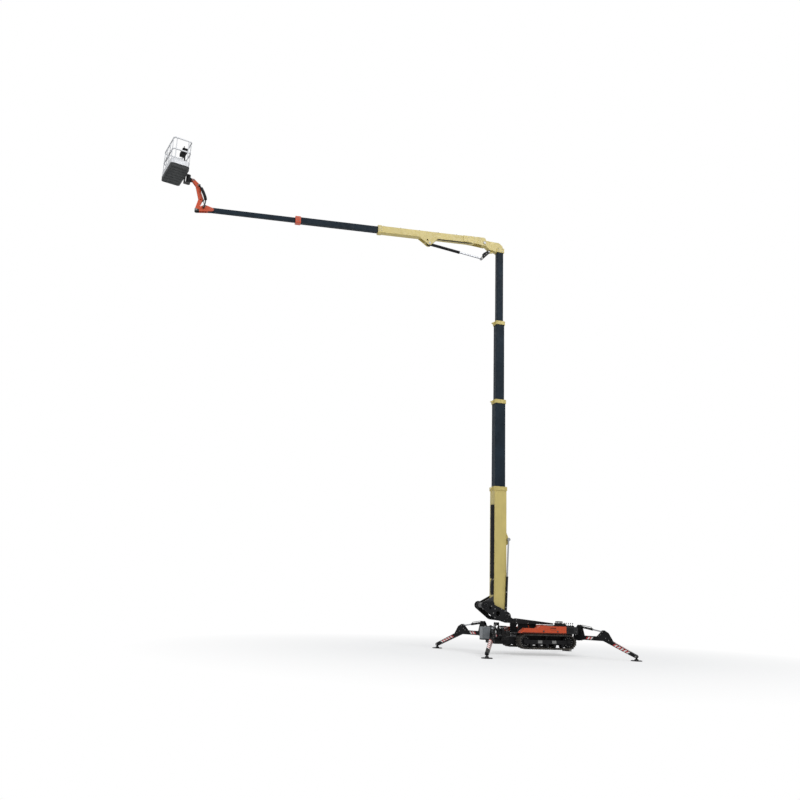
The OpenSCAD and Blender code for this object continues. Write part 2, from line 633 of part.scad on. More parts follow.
// jib
jib_in = tip_in - 24;
jib_side = tip_in - 6;
module jib_arm() color(orange) {
    pair(jib_in, jib_side) difference() {
        union() {
            link(jib_at, 58, jib_bend, 78);
            link(jib_bend, 78, jib_eye + [-20, 0], 74);
            link(jib_eye + [-20, 0], 74, hinge, 58);
        }
        translate(jib_at) circle(jib_pin + fit);
        translate(jib_bend) circle(30);
    }
    // cross web beside the hinge
    slab(-jib_in - 1, jib_in + 1) polygon([jib_eye + [36, 54], jib_eye + [-28, 118], jib_eye + [-36, 110], jib_eye + [28, 46]]);
    pin(jib_eye, 20, -jib_in, jib_in);
    pin(hinge, jib_pin, -jib_side - 12, jib_side + 12);
}
jib_cyl_len = norm(tip_lug - jib_eye);
module jib_barrel() color(black) along(jib_eye, tip_lug)
    barrel(660, jib_barrel_r - 3, jib_rod_r, 40, 20, jib_in - 6);
module jib_rod() color(steel) along(jib_eye, tip_lug)
    rod(170, jib_cyl_len, jib_rod_r, 30, 24);

// basket
module basket_bracket() color(black) {
    difference() {
        union() {
            pin(hinge, 54, -jib_in + 6, jib_in - 6);
            slab(-jib_in + 6, jib_in - 6) polygon([hinge + [0, 54], hinge + [0, -40], hinge + [-110, -70], hinge + [-110, 90]]);
        }
        pin(hinge, jib_pin + fit, -jib_in, jib_in);
    }
    translate([swivel_x, 0, hinge[1] - 130]) cylinder(r = 82, h = 270);
    translate([swivel_x, 0, hinge[1] - 160]) cylinder(r = 40, h = 358);
}
module at_basket() translate([swivel_x, 0, floor_z]) rotate([0, 0, basket_turn]) translate([-basket_off, 0, 0]) children();
module basket_floor() color(grey) at_basket() {
    // tray with ribs under it
    translate([0, 0, 20]) linear_extrude(floor_top - 20) rrect(basket_depth, basket_length, basket_corner);
    for (y = [-2 : 2]) translate([0, y * basket_length * 0.19, 10]) cube([basket_depth - 60, 40, 22], center = true);
    // arms to the swivel
    wall = basket_depth / 2;
    for (z = [-252, 82]) difference() {
        union() {
            translate([basket_off, 0, z]) cylinder(r = 84, h = 28);
            translate([wall - 1, -84, z]) cube([basket_off - wall + 1, 168, 28]);
        }
        translate([basket_off, 0, z - 1]) cylinder(r = 40 + fit, h = 30);
    }
    translate([wall - 1, -84, -252]) cube([30, 168, 362]);
}
module rail_ring(z) translate([0, 0, z - rail]) linear_extrude(2 * rail) difference() {
    rrect(basket_depth, basket_length, basket_corner);
    rrect(basket_depth - 4 * rail, basket_length - 4 * rail, basket_corner - 2 * rail);
}
module basket_rails() color(steel) at_basket() {
    a = basket_depth / 2 - rail;
    b = basket_length / 2 - rail;
    post = basket_height - floor_top - rail;
    for (z = [toe_board + floor_top + rail, (basket_height + toe_board) / 2, basket_height - rail]) rail_ring(z);
    for (x = [-1, 1], y = [-0.84, -0.28, 0.28, 0.84]) translate([x * a, y * b, floor_top]) cylinder(r = post_r, h = post);
    for (y = [-1, 1], x = [-0.66, 0.66]) translate([x * a, y * b, floor_top]) cylinder(r = post_r, h = post);
    // toe board
    translate([0, 0, floor_top]) linear_extrude(toe_board + 2) difference() {
        rrect(basket_depth - 8, basket_length - 8, basket_corner - 4);
        rrect(basket_depth - 16, basket_length - 16, basket_corner - 8);
    }
}
module basket_console() color(black) at_basket() {
    a = basket_depth / 2 - rail - post_r - slide_gap;
    translate([a - 190, -230, basket_height - 210]) cube([190, 460, 150]);
    translate([a - 130, -150, basket_height - 60]) cylinder(r = 12, h = 90);
    translate([a - 130, 150, basket_height - 60]) cylinder(r = 12, h = 90);
    for (y = [-150, 150]) translate([a - 130, y, basket_height + 34]) sphere(r = 20, $fn = 20);
}

// outriggers
module leg() {
    difference() {
        union() {
            slab(-leg_width / 2, leg_width / 2) {
                circle(leg_height / 2 + 8);
                translate([0, -leg_height / 2]) square([knee, leg_height]);
                link([knee, 0], leg_height / 2, [leg_reach, foot_ball - leg_z], 55);
            }
            pair(leg_width / 2 - 12, leg_width / 2) polygon([[knee - 280, leg_height / 2 - 2], [leg_eye[0] - 60, leg_eye[1] + 10], leg_eye + [-20, 58], leg_eye + [30, 58], leg_eye + [190, -30], [knee + 330, -75], [knee, 0]]);
        }
        pin([0, 0], leg_pin + fit, -leg_width, leg_width);
    }
    // foot
    translate([leg_reach, 0, -leg_z]) {
        cylinder(r = foot_radius, h = 24);
        cylinder(r1 = 90, r2 = 60, h = 70);
        translate([0, 0, 60]) cylinder(r = 34, h = foot_ball - 60);
    }
}
leg_cyl_len = norm(leg_eye - leg_root);
module leg_barrel() along(leg_root, leg_eye) barrel(540, leg_barrel_r - 3, leg_rod_r, 54, leg_pin, leg_barrel_r);
module leg_rod() along(leg_root, leg_eye) rod(425, leg_cyl_len, leg_rod_r, 40, 38);

chassis_frame();
color(black) track_frame(-1);  // track_frame_left
color(black) track_frame(1);  // track_frame_right
color(rubber) track(-1);  // track_left
color(rubber) track(1);  // track_right
hood(-1);  // hood_left
hood(1);  // hood_right
engine_block();
cabinet();
lever_bank();
slew_ring();
turret_deck();
cheek(-1);  // turret_cheek_left
cheek(1);  // turret_cheek_right
turret_covers();
mast_pin();
mast_barrels();
mast_rods();
mast_base();
hose_tray();
mast_tube_1();
mast_collar_1();
mast_tube_2();
mast_collar_2();
mast_tube_3();
mast_head();
rocker();
boom_base();
boom_tube_1();
boom_collar();
boom_tube_2();
boom_tip();
boom_barrel();
boom_rod();
jib_arm();
jib_barrel();
jib_rod();
basket_bracket();
basket_floor();
basket_rails();
basket_console();
color(yellow) at_leg(true, -1) leg();  // leg_front_left
color(yellow) at_leg(true, 1) leg();  // leg_front_right
color(yellow) at_leg(false, -1) leg();  // leg_rear_left
color(yellow) at_leg(false, 1) leg();  // leg_rear_right
color(black) at_leg(true, -1) leg_barrel();  // leg_barrel_front_left
color(black) at_leg(true, 1) leg_barrel();  // leg_barrel_front_right
color(black) at_leg(false, -1) leg_barrel();  // leg_barrel_rear_left
color(black) at_leg(false, 1) leg_barrel();  // leg_barrel_rear_right
color(steel) at_leg(true, -1) leg_rod();  // leg_rod_front_left
color(steel) at_leg(true, 1) leg_rod();  // leg_rod_front_right
color(steel) at_leg(false, -1) leg_rod();  // leg_rod_rear_left
color(steel) at_leg(false, 1) leg_rod();  // leg_rod_rear_right
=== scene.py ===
import json
import math
import bmesh
import bpy
from mathutils import Matrix, Vector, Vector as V


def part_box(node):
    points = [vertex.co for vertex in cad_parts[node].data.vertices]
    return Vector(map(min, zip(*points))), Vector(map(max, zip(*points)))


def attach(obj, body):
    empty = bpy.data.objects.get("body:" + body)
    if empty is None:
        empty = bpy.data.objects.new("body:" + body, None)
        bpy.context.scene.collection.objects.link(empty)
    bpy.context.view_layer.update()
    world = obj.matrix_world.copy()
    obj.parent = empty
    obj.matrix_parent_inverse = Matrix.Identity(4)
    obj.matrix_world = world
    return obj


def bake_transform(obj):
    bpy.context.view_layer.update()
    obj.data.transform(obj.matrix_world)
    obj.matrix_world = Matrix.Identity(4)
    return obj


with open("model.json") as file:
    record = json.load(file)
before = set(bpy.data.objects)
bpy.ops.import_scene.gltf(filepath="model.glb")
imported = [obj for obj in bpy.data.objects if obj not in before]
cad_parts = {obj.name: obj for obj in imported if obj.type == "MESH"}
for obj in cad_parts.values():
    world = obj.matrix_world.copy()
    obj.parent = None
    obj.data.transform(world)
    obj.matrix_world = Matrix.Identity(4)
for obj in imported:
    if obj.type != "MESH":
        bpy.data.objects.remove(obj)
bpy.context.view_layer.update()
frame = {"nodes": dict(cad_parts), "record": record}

scene = bpy.context.scene
scene.view_settings.view_transform = "Standard"

# Camera at the photograph's view

CAMERA_AT = (-12.697, -27.334, 1.716)
YAW, TILT, ROLL = math.radians(15.601), math.radians(14.66), math.radians(2.158)
LENS, SENSOR, FARTHEST = 34.61, 36, 400

forward = V((math.sin(YAW) * math.cos(TILT), math.cos(YAW) * math.cos(TILT), math.sin(TILT)))
level = V((math.cos(YAW), -math.sin(YAW), 0))
upright = level.cross(forward)
right = level * math.cos(ROLL) + upright * math.sin(ROLL)
up = upright * math.cos(ROLL) - level * math.sin(ROLL)
camera_data = bpy.data.cameras.new("camera")
camera_data.sensor_fit = "HORIZONTAL"
camera_data.sensor_width = SENSOR
camera_data.lens = LENS
camera_data.clip_end = FARTHEST
camera = bpy.data.objects.new("camera", camera_data)
camera.matrix_world = Matrix.Translation(CAMERA_AT) @ Matrix((right, up, -forward)).transposed().to_4x4()
scene.collection.objects.link(camera)
scene.camera = camera

# Materials


class Tree:
    """A material's node tree, with short calls to add and link nodes."""

    def __init__(self, name):
        self.material = bpy.data.materials.new(name)
        self.material.use_nodes = True
        self.nodes = self.material.node_tree.nodes
        self.links = self.material.node_tree.links
        self.shader = self.nodes["Principled BSDF"]
        self.place = self.add("ShaderNodeTexCoord").outputs["Object"]

    def add(self, kind, **values):
        node = self.nodes.new(kind)
        for key, value in values.items():
            setattr(node, key, value)
        return node

    def link(self, out, to):
        self.links.new(out, to)

    def noise(self, scale, detail=5, stretch=None, distortion=0.0):
        node = self.add("ShaderNodeTexNoise")
        node.inputs["Scale"].default_value = scale
        node.inputs["Detail"].default_value = detail
        node.inputs["Distortion"].default_value = distortion
        source = self.place
        if stretch:
            mapping = self.add("ShaderNodeMapping")
            mapping.inputs["Scale"].default_value = stretch
            self.link(source, mapping.inputs["Vector"])
            source = mapping.outputs["Vector"]
        self.link(source, node.inputs["Vector"])
        return node.outputs["Fac"]

    def span(self, value, low, high, to_low=0.0, to_high=1.0):
        """Takes value from the range low to high to the range to_low to to_high."""
        node = self.add("ShaderNodeMapRange")
        limits = {"From Min": low, "From Max": high, "To Min": to_low, "To Max": to_high}
        for key, number in limits.items():
            node.inputs[key].default_value = number
        self.link(value, node.inputs["Value"])
        return node.outputs["Result"]

    def math(self, operation, a, b):
        node = self.add("ShaderNodeMath", operation=operation)
        for socket, value in zip(node.inputs, (a, b)):
            if isinstance(value, (int, float)):
                socket.default_value = value
            else:
                self.link(value, socket)
        return node.outputs["Value"]

    def mix(self, factor, a, b):
        node = self.add("ShaderNodeMix", data_type="RGBA")
        self.link(factor, node.inputs["Factor"])
        for socket, value in zip([s for s in node.inputs if s.type == "RGBA"], (a, b)):
            if isinstance(value, tuple):
                socket.default_value = (*value, 1)
            else:
                self.link(value, socket)
        return [s for s in node.outputs if s.type == "RGBA"][0]

    def part(self, vector, axis):
        split = self.add("ShaderNodeSeparateXYZ")
        self.link(vector, split.inputs["Vector"])
        return split.outputs[axis]

    def facing_up(self):
        return self.part(self.add("ShaderNodeNewGeometry").outputs["Normal"], "Z")

    def along(self, axis):
        return self.part(self.place, axis)

    def bump(self, value, strength, distance):
        node = self.add("ShaderNodeBump")
        node.inputs["Strength"].default_value = strength
        node.inputs["Distance"].default_value = distance
        self.link(value, node.inputs["Height"])
        self.link(node.outputs["Normal"], self.shader.inputs["Normal"])

    def colour(self, out):
        self.link(out, self.shader.inputs["Base Color"])

    def roughness(self, out):
        self.link(out, self.shader.inputs["Roughness"])

    def set(self, **values):
        for key, value in values.items():
            self.shader.inputs[key.replace("_", " ")].default_value = value


def shade(colour, factor):
    return tuple(min(1.0, c * factor) for c in colour)


CREAM = (0.560, 0.455, 0.150)
DARK = (0.010, 0.018, 0.027)
ORANGE = (0.560, 0.074, 0.022)
BLACK = (0.010, 0.010, 0.011)
DUST = (0.30, 0.26, 0.20)
MUD = (0.17, 0.145, 0.115)


def paint(name, colour, rough, patch, dirt, dust, coat, gloss, black_where=()):
    """Sprayed paint: patchy colour, streaks of dirt running down, dust on what faces up, and a fine bump.
    Black covers what lies past every (axis, from, to) in black_where."""
    t = Tree(name)
    patches = t.span(t.noise(1.6, 6), 0.3, 0.7)
    base = t.mix(patches, shade(colour, 1 - patch), shade(colour, 1 + patch))
    streaks = t.span(t.noise(1.0, 6, (22, 22, 1.1)), 0.56, 0.78, 0.0, dirt)
    base = t.mix(streaks, base, shade(colour, 0.42))
    if black_where:
        covered = 1.0
        for axis, start, end in black_where:
            covered = t.math("MULTIPLY", covered, t.span(t.along(axis), start, end))
        base = t.mix(covered, base, BLACK)
    specks = t.span(t.noise(5, 6), 0.35, 0.75, 0.0, dust)
    base = t.mix(t.math("MULTIPLY", t.span(t.facing_up(), 0.55, 1.0), specks), base, DUST)
    chips = t.span(t.noise(34, 3, distortion=0.6), 0.735, 0.755)
    t.colour(t.mix(chips, base, shade(colour, 0.55)))
    t.roughness(t.span(t.noise(9, 6), 0.3, 0.75, rough - 0.10, rough + 0.16))
    t.bump(t.noise(180, 2), 0.10, 0.002)
    t.set(Coat_Weight=coat, Coat_Roughness=0.18, Specular_IOR_Level=gloss)
    return t.material


def metal(name, colour, rough, grain, metallic, smear):
    """Bare metal with drawn or turned grain and oily smears."""
    t = Tree(name)
    smears = t.span(t.noise(3.2, 6), 0.35, 0.7)
    t.colour(t.mix(smears, colour, shade(colour, 1 - smear)))
    lines = t.noise(14, 4, grain)
    t.roughness(t.span(lines, 0.3, 0.7, rough * 0.7, rough * 1.5))
    t.bump(lines, 0.06, 0.001)
    t.set(Metallic=metallic)
    return t.material


def rubber(name, colour, rough, mud):
    """Rubber with dried mud that gathers low down."""
    t = Tree(name)
    base = t.mix(t.span(t.noise(7, 6), 0.3, 0.7), shade(colour, 0.7), shade(colour, 1.4))
    low = t.span(t.along("Z"), 0.9, 0.15, 0.45, 1.0)
    spots = t.span(t.noise(11, 8, distortion=0.4), 0.42, 0.66, 0.0, mud)
    t.colour(t.mix(t.math("MULTIPLY", low, spots), base, MUD))
    t.roughness(t.span(t.noise(26, 4), 0.3, 0.7, rough - 0.12, rough + 0.12))
    t.bump(t.noise(90, 4), 0.35, 0.004)
    t.set(Specular_IOR_Level=0.3)
    return t.material


def tread_plate(name, colour, painted_shade_below):
    """Raised bars in a crossed pattern, as on a chequered floor.
    What lies below the given height is black, a painted shade under the floor."""
    t = Tree(name)
    base = t.mix(t.span(t.noise(6, 6), 0.3, 0.7), shade(colour, 0.75), shade(colour, 1.3))
    waves = []
    for angle in (0.785, -0.785):
        mapping = t.add("ShaderNodeMapping")
        mapping.inputs["Rotation"].default_value = (0, 0, angle)
        t.link(t.place, mapping.inputs["Vector"])
        wave = t.add("ShaderNodeTexWave")
        wave.inputs["Scale"].default_value = 9
        t.link(mapping.outputs["Vector"], wave.inputs["Vector"])
        waves.append(wave.outputs["Fac"])
    bars = t.math("MULTIPLY", *waves)
    worn = t.mix(t.span(bars, 0.55, 0.95, 0.0, 0.5), base, shade(colour, 2.6))
    # black below the deck height: painted shade under the floor
    t.colour(t.mix(t.span(t.along("Z"), painted_shade_below + 0.001, painted_shade_below - 0.001), worn, BLACK))
    t.roughness(t.span(t.noise(12, 5), 0.3, 0.7, 0.35, 0.65))
    t.bump(bars, 0.5, 0.006)
    t.set(Metallic=0.15)
    return t.material


BASKET_DECK = 16.88
PAINTS = {
    # name: colour, roughness, patchiness, dirt, dust, clear coat, gloss
    "cream_paint": (CREAM, 0.46, 0.07, 0.22, 0.25, 0.12, 0.40),
    "dark_paint": (DARK, 0.55, 0.25, 0.45, 0.05, 0.0, 0.12),
    "orange_paint": (ORANGE, 0.40, 0.08, 0.25, 0.22, 0.15, 0.40),
    "black_paint": (BLACK, 0.55, 0.30, 0.20, 0.08, 0.0, 0.12),
    "leg_paint": (BLACK, 0.52, 0.30, 0.20, 0.10, 0.0, 0.12),
    "grey_paint": ((0.150, 0.165, 0.175), 0.46, 0.12, 0.30, 0.25, 0.25, 0.50),
    "cast": ((0.030, 0.030, 0.032), 0.70, 0.35, 0.40, 0.30, 0.0, 0.30),
    "black_plastic": ((0.011, 0.011, 0.012), 0.62, 0.25, 0.15, 0.10, 0.0, 0.14),
    "red_film": ((0.50, 0.020, 0.022), 0.40, 0.10, 0.25, 0.20, 0.25, 0.50),
    "white_film": ((0.78, 0.77, 0.74), 0.40, 0.05, 0.35, 0.20, 0.25, 0.50),
    # the pan under the basket floor: a dark grey that paints the shade beneath it
    "pan_shade_grey": ((0.034, 0.037, 0.038), 0.60, 0.20, 0.30, 0.10, 0.0, 0.25),
}
METALS = {
    # name: colour, roughness, stretch of the grain, metallic, smears
    "ring_steel": ((0.20, 0.20, 0.21), 0.45, (20, 20, 3), 0.9, 0.4),
    "rod_chrome": ((0.34, 0.35, 0.37), 0.16, (2, 2, 30), 1.0, 0.15),
    "basket_alloy": ((0.60, 0.61, 0.63), 0.45, (6, 6, 40), 0.35, 0.2),
    "zinc": ((0.24, 0.24, 0.235), 0.40, (4, 4, 4), 0.9, 0.3),
}
looks = {name: paint(name, *values) for name, values in PAINTS.items()}
looks.update((name, metal(name, *values)) for name, values in METALS.items())
looks["track_rubber"] = rubber("track_rubber", (0.020, 0.019, 0.018), 0.8, 0.55)
looks["hose_rubber"] = rubber("hose_rubber", (0.013, 0.013, 0.014), 0.55, 0.10)
# basket floor, black below its deck as painted shade
looks["floor_grey"] = tread_plate("floor_grey", (0.045, 0.048, 0.050), BASKET_DECK)

# nodes with a black end, and one that is black all over
hood_paint = paint("hood_paint", ORANGE, 0.42, 0.08, 0.25, 0.12, 0.06, 0.28, [("X", 1.329, 1.331)])
mast_black = [("X", -1.261, -1.263), ("Z", 2.31, 2.30)]
tip_black = [("X", -13.164, -13.166), ("Z", 15.641, 15.639)]
jib_black = [("Z", 15.621, 15.619)]
node_looks = {
    "hood_left": hood_paint,
    "hood_right": hood_paint,
    "mast_base": paint("mast_paint", *PAINTS["cream_paint"], mast_black),
    "boom_tip": paint("tip_paint", *PAINTS["orange_paint"], tip_black),
    "jib_arm": paint("jib_paint", *PAINTS["orange_paint"], jib_black),
    "basket_bracket": looks["black_paint"],
}
slot_of = {part["node"]: part["material_slot"] for part in frame["record"]["subparts"]}
for node, piece in frame["nodes"].items():
    look = node_looks.get(node) or looks[slot_of[node]]
    if piece.material_slots:
        for holder in piece.material_slots:
            holder.material = look
    else:
        piece.data.materials.append(look)

ZINC, ALLOY, HOSE, PLASTIC = (looks[n] for n in ("zinc", "basket_alloy", "hose_rubber", "black_plastic"))
CREAM_PAINT, BLACK_PAINT, PAN_SHADE = (looks[n] for n in ("cream_paint", "black_paint", "pan_shade_grey"))
RED, WHITE = looks["red_film"], looks["white_film"]

# Mesh helpers

SIDES = (-1, 1)
UP = (0, 0, 1)


def turned(axis):
    """A rotation that takes +Z to axis."""
    return V(UP).rotation_difference(V(axis).normalized()).to_matrix().to_4x4()


def circle(radius, count, offset=0):
    """Points around the origin, the first of them offset steps on from +X."""
    angles = [2 * math.pi * (i + offset) / count for i in range(count)]
    return [(radius * math.cos(a), radius * math.sin(a)) for a in angles]


def curve(points, steps=6):
    """A smooth run of points through the given ones."""
    points = [V(p) for p in points]
    last = len(points) - 1
    run = []
    for i in range(last):
        a, b, c, d = (points[k] for k in (max(i - 1, 0), i, i + 1, min(i + 2, last)))
        for k in range(steps):
            t = k / steps
            square, cube = 2 * a - 5 * b + 4 * c - d, 3 * b - a - 3 * c + d
            run.append(0.5 * (2 * b + (c - a) * t + square * t * t + cube * t ** 3))
    run.append(points[-1])
    return run


def bent(start, heading, parts, shift, step=0.033):
    """A flat run of straights and arcs, each (length, turn in degrees),
    drawn shift to the right of its line."""
    x, z = start
    angle = math.radians(heading)
    points = []
    for length, turn in parts:
        count = round(length / step)
        half = math.radians(turn) / count / 2
        chord = length / count * (math.sin(half) / half if half else 1)
        for _ in range(count):
            points.append((x + shift * math.sin(angle), z - shift * math.cos(angle)))
            x += chord * math.cos(angle + half)
            z += chord * math.sin(angle + half)
            angle += 2 * half
    points.append((x + shift * math.sin(angle), z - shift * math.cos(angle)))
    return points


def rounded(half_x, half_y, radius, steps=5):
    """The outline of a rounded rectangle about the origin."""
    points = []
    for quarter, (sx, sy) in enumerate(((1, 1), (-1, 1), (-1, -1), (1, -1))):
        for k in range(steps + 1):
            angle = math.pi / 2 * (quarter + k / steps)
            x, y = sx * (half_x - radius), sy * (half_y - radius)
            points.append((x + radius * math.cos(angle), y + radius * math.sin(angle)))
    return points


class Piece:
    """One mesh piece, which rides on a body; the slot it is given is not used.
    A shape names its material, or takes the piece's own."""

    def __init__(self, name, body, look, slot):
        self.name, self.body, self.slot = name, body, slot
        self.looks = [look]
        self.bm = bmesh.new()

    def face(self, verts, look, smooth=False):
        look = look or self.looks[0]
        if look not in self.looks:
            self.looks.append(look)
        face = self.bm.faces.new(verts)
        face.material_index = self.looks.index(look)
        face.smooth = smooth

    def skin(self, rows, look, smooth=False):
        """Closed rows of points joined by faces, with a flat end at both."""
        rows = [[self.bm.verts.new(point) for point in row] for row in rows]
        for low, high in zip(rows, rows[1:]):
            for i in range(len(low)):
                ahead = (i + 1) % len(low)
                self.face((low[i], low[ahead], high[ahead], high[i]), look, smooth)
        self.face(rows[0][::-1], look)
        self.face(rows[-1], look)

    def ring(self, at, axis, outline, look=None, sides=20):
        """A turned solid: outline is a list of (radius, height) from bottom to top along axis."""
        place = Matrix.Translation(at) @ turned(axis)
        rows = []
        for radius, height in outline:
            rows.append([place @ V((x, y, height)) for x, y in circle(radius, sides)])
        self.skin(rows, look)

    def bolt(self, at, axis, size, look=None):
        """A hexagon head on a washer; size is half the head's width across corners."""
        washer = [(size * 1.45, 0), (size * 1.45, size * 0.22), (size * 1.30, size * 0.30)]
        head = [(size, 0), (size, size * 0.62), (size * 0.84, size * 0.78)]
        self.ring(at, axis, washer, look, 14)
        self.ring(V(at) + V(axis).normalized() * size * 0.28, axis, head, look, 6)

    def cap(self, at, axis, radius, height, look=None, bolts=0):
        """A round pin cover with a raised rim, and bolts around it."""
        rim = [(1, 0), (1, 0.7), (0.93, 1), (0.70, 1), (0.66, 0.75), (0.30, 0.75)]
        self.ring(at, axis, [(radius * r, height * h) for r, h in rim], look, 28)
        for x, y in circle(0.80 * radius, bolts):
            self.bolt(V(at) + turned(axis) @ V((x, y, height)), axis, radius * 0.10, look)

    def block(self, place, a, b, look=None, chamfer=0.004):
        """A block between two opposite corners in place, with chamfered edges."""
        low, high = V([min(p) for p in zip(a, b)]), V([max(p) for p in zip(a, b)])
        size = high - low
        bm = bmesh.new()
        bmesh.ops.create_cube(bm, size=1)
        bmesh.ops.scale(bm, vec=size, verts=bm.verts)
        bmesh.ops.translate(bm, vec=(low + high) / 2, verts=bm.verts)
        offset = min(chamfer, min(size) * 0.3)
        bmesh.ops.bevel(bm, geom=bm.edges[:], offset=offset, segments=2, profile=0.6, affect="EDGES")
        bmesh.ops.transform(bm, matrix=place, verts=bm.verts)
        copy = {v: self.bm.verts.new(v.co) for v in bm.verts}
        for face in bm.faces:
            self.face([copy[v] for v in face.verts], look)
        bm.free()

    def box(self, a, b, look=None, chamfer=0.004):
        self.block(Matrix.Identity(4), a, b, look, chamfer)

    def tube(self, path, radius, look=None, sides=10):
        """A round tube along a path of points."""
        path = [V(p) for p in path]
        last = len(path) - 1
        side = None
        rows = []
        for i, point in enumerate(path):
            ahead = (path[min(i + 1, last)] - path[max(i - 1, 0)]).normalized()
            side = side - ahead * side.dot(ahead) if side else ahead.orthogonal()
            side.normalize()
            other = ahead.cross(side)
            rows.append([point + side * x + other * y for x, y in circle(radius, sides)])
        self.skin(rows, look, smooth=True)

    def plate(self, place, outline, low, high, look=None):
        """An outline of (x, z) points in place, drawn out along its y from low to high."""
        self.skin([[place @ V((x, y, z)) for x, z in outline] for y in (low, high)], look)

    def done(self, ride=True):
        bmesh.ops.recalc_face_normals(self.bm, faces=self.bm.faces[:])
        mesh = bpy.data.meshes.new(self.name)
        self.bm.to_mesh(mesh)
        self.bm.free()
        for look in self.looks:
            mesh.materials.append(look)
        piece = bpy.data.objects.new(self.name, mesh)
        scene.collection.objects.link(piece)
        if ride:
            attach(piece, self.body)
        return piece


# Outriggers: warning stripes, pin covers, and a pipe along each cylinder

LEGS = (
    # name, x of its root, side, heading in degrees
    ("front_left", -1.38, -1, 180 + 59),
    ("front_right", -1.38, 1, 180 - 59),
    ("rear_left", 2.05, -1, -59),
    ("rear_right", 2.05, 1, 59),
)
LEG_Y, LEG_Z, LEG_HALF = 0.72, 0.67, 0.058
KNEE, FOOT = V((0.90, 0, 0)), V((2.11, 0, -0.52))
LOWER_LONG = 1.317
LEG_TOP, LEG_TAPER = 0.075, 0.020
LEG_ROOT, LEG_EYE = V((-0.10, 0, 0.39)), V((0.86, 0, 0.24))
LEG_BOLTS = ((0.70, 0.088), (0.98, 0.03), (1.10, -0.04), (0.78, 0.14))
PITCH, SLANT, STRIPE_GAP, FILM = 0.125, 0.075, 0.0015, 0.0025
TOP_HALF = 0.044
PIPE_ROUTE = (
    # along the cylinder, out from its middle
    (0.09, 0.048), (0.10, 0.066), (0.13, 0.070), (0.30, 0.070),
    (0.46, 0.070), (0.49, 0.066), (0.50, 0.048),
)
# turned outlines, each (radius, height)
PIPE_FITTING = [(0.017, 0), (0.017, 0.018), (0.012, 0.026)]
LEG_STRAP = [(0.0405, 0), (0.0425, 0.003), (0.0425, 0.019), (0.0405, 0.022)]
LEG_GLAND = [(0.036, 0), (0.040, 0.006), (0.040, 0.018), (0.030, 0.024)]


def add_stripes(piece, place, start, end, half, taper):
    """Slanted red and white stripes on an arm's two sides and its top, from start to end along it."""
    wide = PITCH / 2 - STRIPE_GAP
    rise = place.to_3x3() @ V((0, 0, FILM))
    for i in range(int((end - start - SLANT) / PITCH)):
        for k, look in enumerate((RED, WHITE)):
            u = start + i * PITCH + k * PITCH / 2
            far = u + wide + SLANT
            outline = [(u, -half), (u + wide, -half), (far, half), (u + SLANT, half)]
            for side in SIDES:
                piece.plate(place, outline, side * (LEG_HALF - 0.002), side * (LEG_HALF + FILM), look)
            near_top, far_top = (LEG_TOP - taper * v / LOWER_LONG for v in (u, far))
            corners = [
                place @ V(c)
                for c in (
                    (u, -TOP_HALF, near_top),
                    (u + wide, -TOP_HALF, near_top),
                    (far, TOP_HALF, far_top),
                    (u + SLANT, TOP_HALF, far_top),
                )
            ]
            piece.skin([[c - rise for c in corners], [c + rise for c in corners]], look)


drop = math.atan2(KNEE.z - FOOT.z, FOOT.x - KNEE.x)
run = (LEG_EYE - LEG_ROOT).normalized()
lift = V((-run.z, 0, run.x))
for name, x, side, heading in LEGS:
    leg = Matrix.Translation((x, side * LEG_Y, LEG_Z)) @ Matrix.Rotation(math.radians(heading), 4, "Z")
    lower = leg @ Matrix.Translation(KNEE) @ Matrix.Rotation(drop, 4, "Y")
    stripes = Piece("stripes_" + name, "leg_" + name, RED, "leg_paint")
    add_stripes(stripes, leg, 0.17, 0.60, 0.044, 0)
    add_stripes(stripes, lower, 0.39, 1.16, 0.041, LEG_TAPER)
    stripes.done()

    trim = Piece("leg_trim_" + name, "leg_" + name, ZINC, "leg_paint")
    for face in SIDES:
        out = leg.to_3x3() @ V((0, face, 0))
        trim.cap(leg @ (LEG_EYE + V((0, face * LEG_HALF, 0))), out, 0.050, 0.016, BLACK_PAINT)
        trim.bolt(leg @ (LEG_EYE + V((0, face * (LEG_HALF + 0.014), 0))), out, 0.016)
        for u, w in LEG_BOLTS:
            trim.bolt(leg @ V((u, face * LEG_HALF, w)), out, 0.013)
        trim.cap(leg @ (FOOT + V((0, face * 0.056, 0))), out, 0.036, 0.014)
    for dx, dy in circle(0.15, 6):
        trim.bolt(leg @ (FOOT + V((dx, dy, -0.128))), UP, 0.012)
    trim.done()

    pipe = Piece("leg_pipe_" + name, "leg_barrel_" + name, ZINC, "black_paint")
    route = curve([LEG_ROOT + run * u + lift * w for u, w in PIPE_ROUTE])
    pipe.tube([leg @ point for point in route], 0.009, HOSE)
    along, above = leg.to_3x3() @ run, leg.to_3x3() @ lift
    for u in (0.10, 0.50):
        pipe.ring(leg @ (LEG_ROOT + run * u + lift * 0.036), above, PIPE_FITTING, sides=16)
    for u in (0.20, 0.36):
        pipe.ring(leg @ (LEG_ROOT + run * u), along, LEG_STRAP, sides=16)
    pipe.ring(leg @ (LEG_ROOT + run * 0.536), along, LEG_GLAND, sides=16)
    pipe.done()

# Chassis, tracks and hoods

TRACK_LONG, TRACK_TALL, TRACK_LOW = 2.260, 0.535, 0.22
TRACK_X, TRACK_Y = 0.59, 0.684
WHEEL_AT = (TRACK_LONG - TRACK_TALL) / 2
AXLE_Z = TRACK_LOW + TRACK_TALL / 2
GRIP = ((0.70, 0), (0.70, 0.035), (0.73, 0.05), (0.87, 0.05), (0.90, 0.035), (0.90, 0))
DECK = 0.62
LAMP_Y, LAMP_Z = 0.36, 0.53
LAMP_RIM = [(0.048, 0), (0.048, 0.018), (0.042, 0.026), (0.036, 0.026)]
LAMP_DOME = [(0.036, 0), (0.034, 0.006), (0.024, 0.011), (0.010, 0.013)]

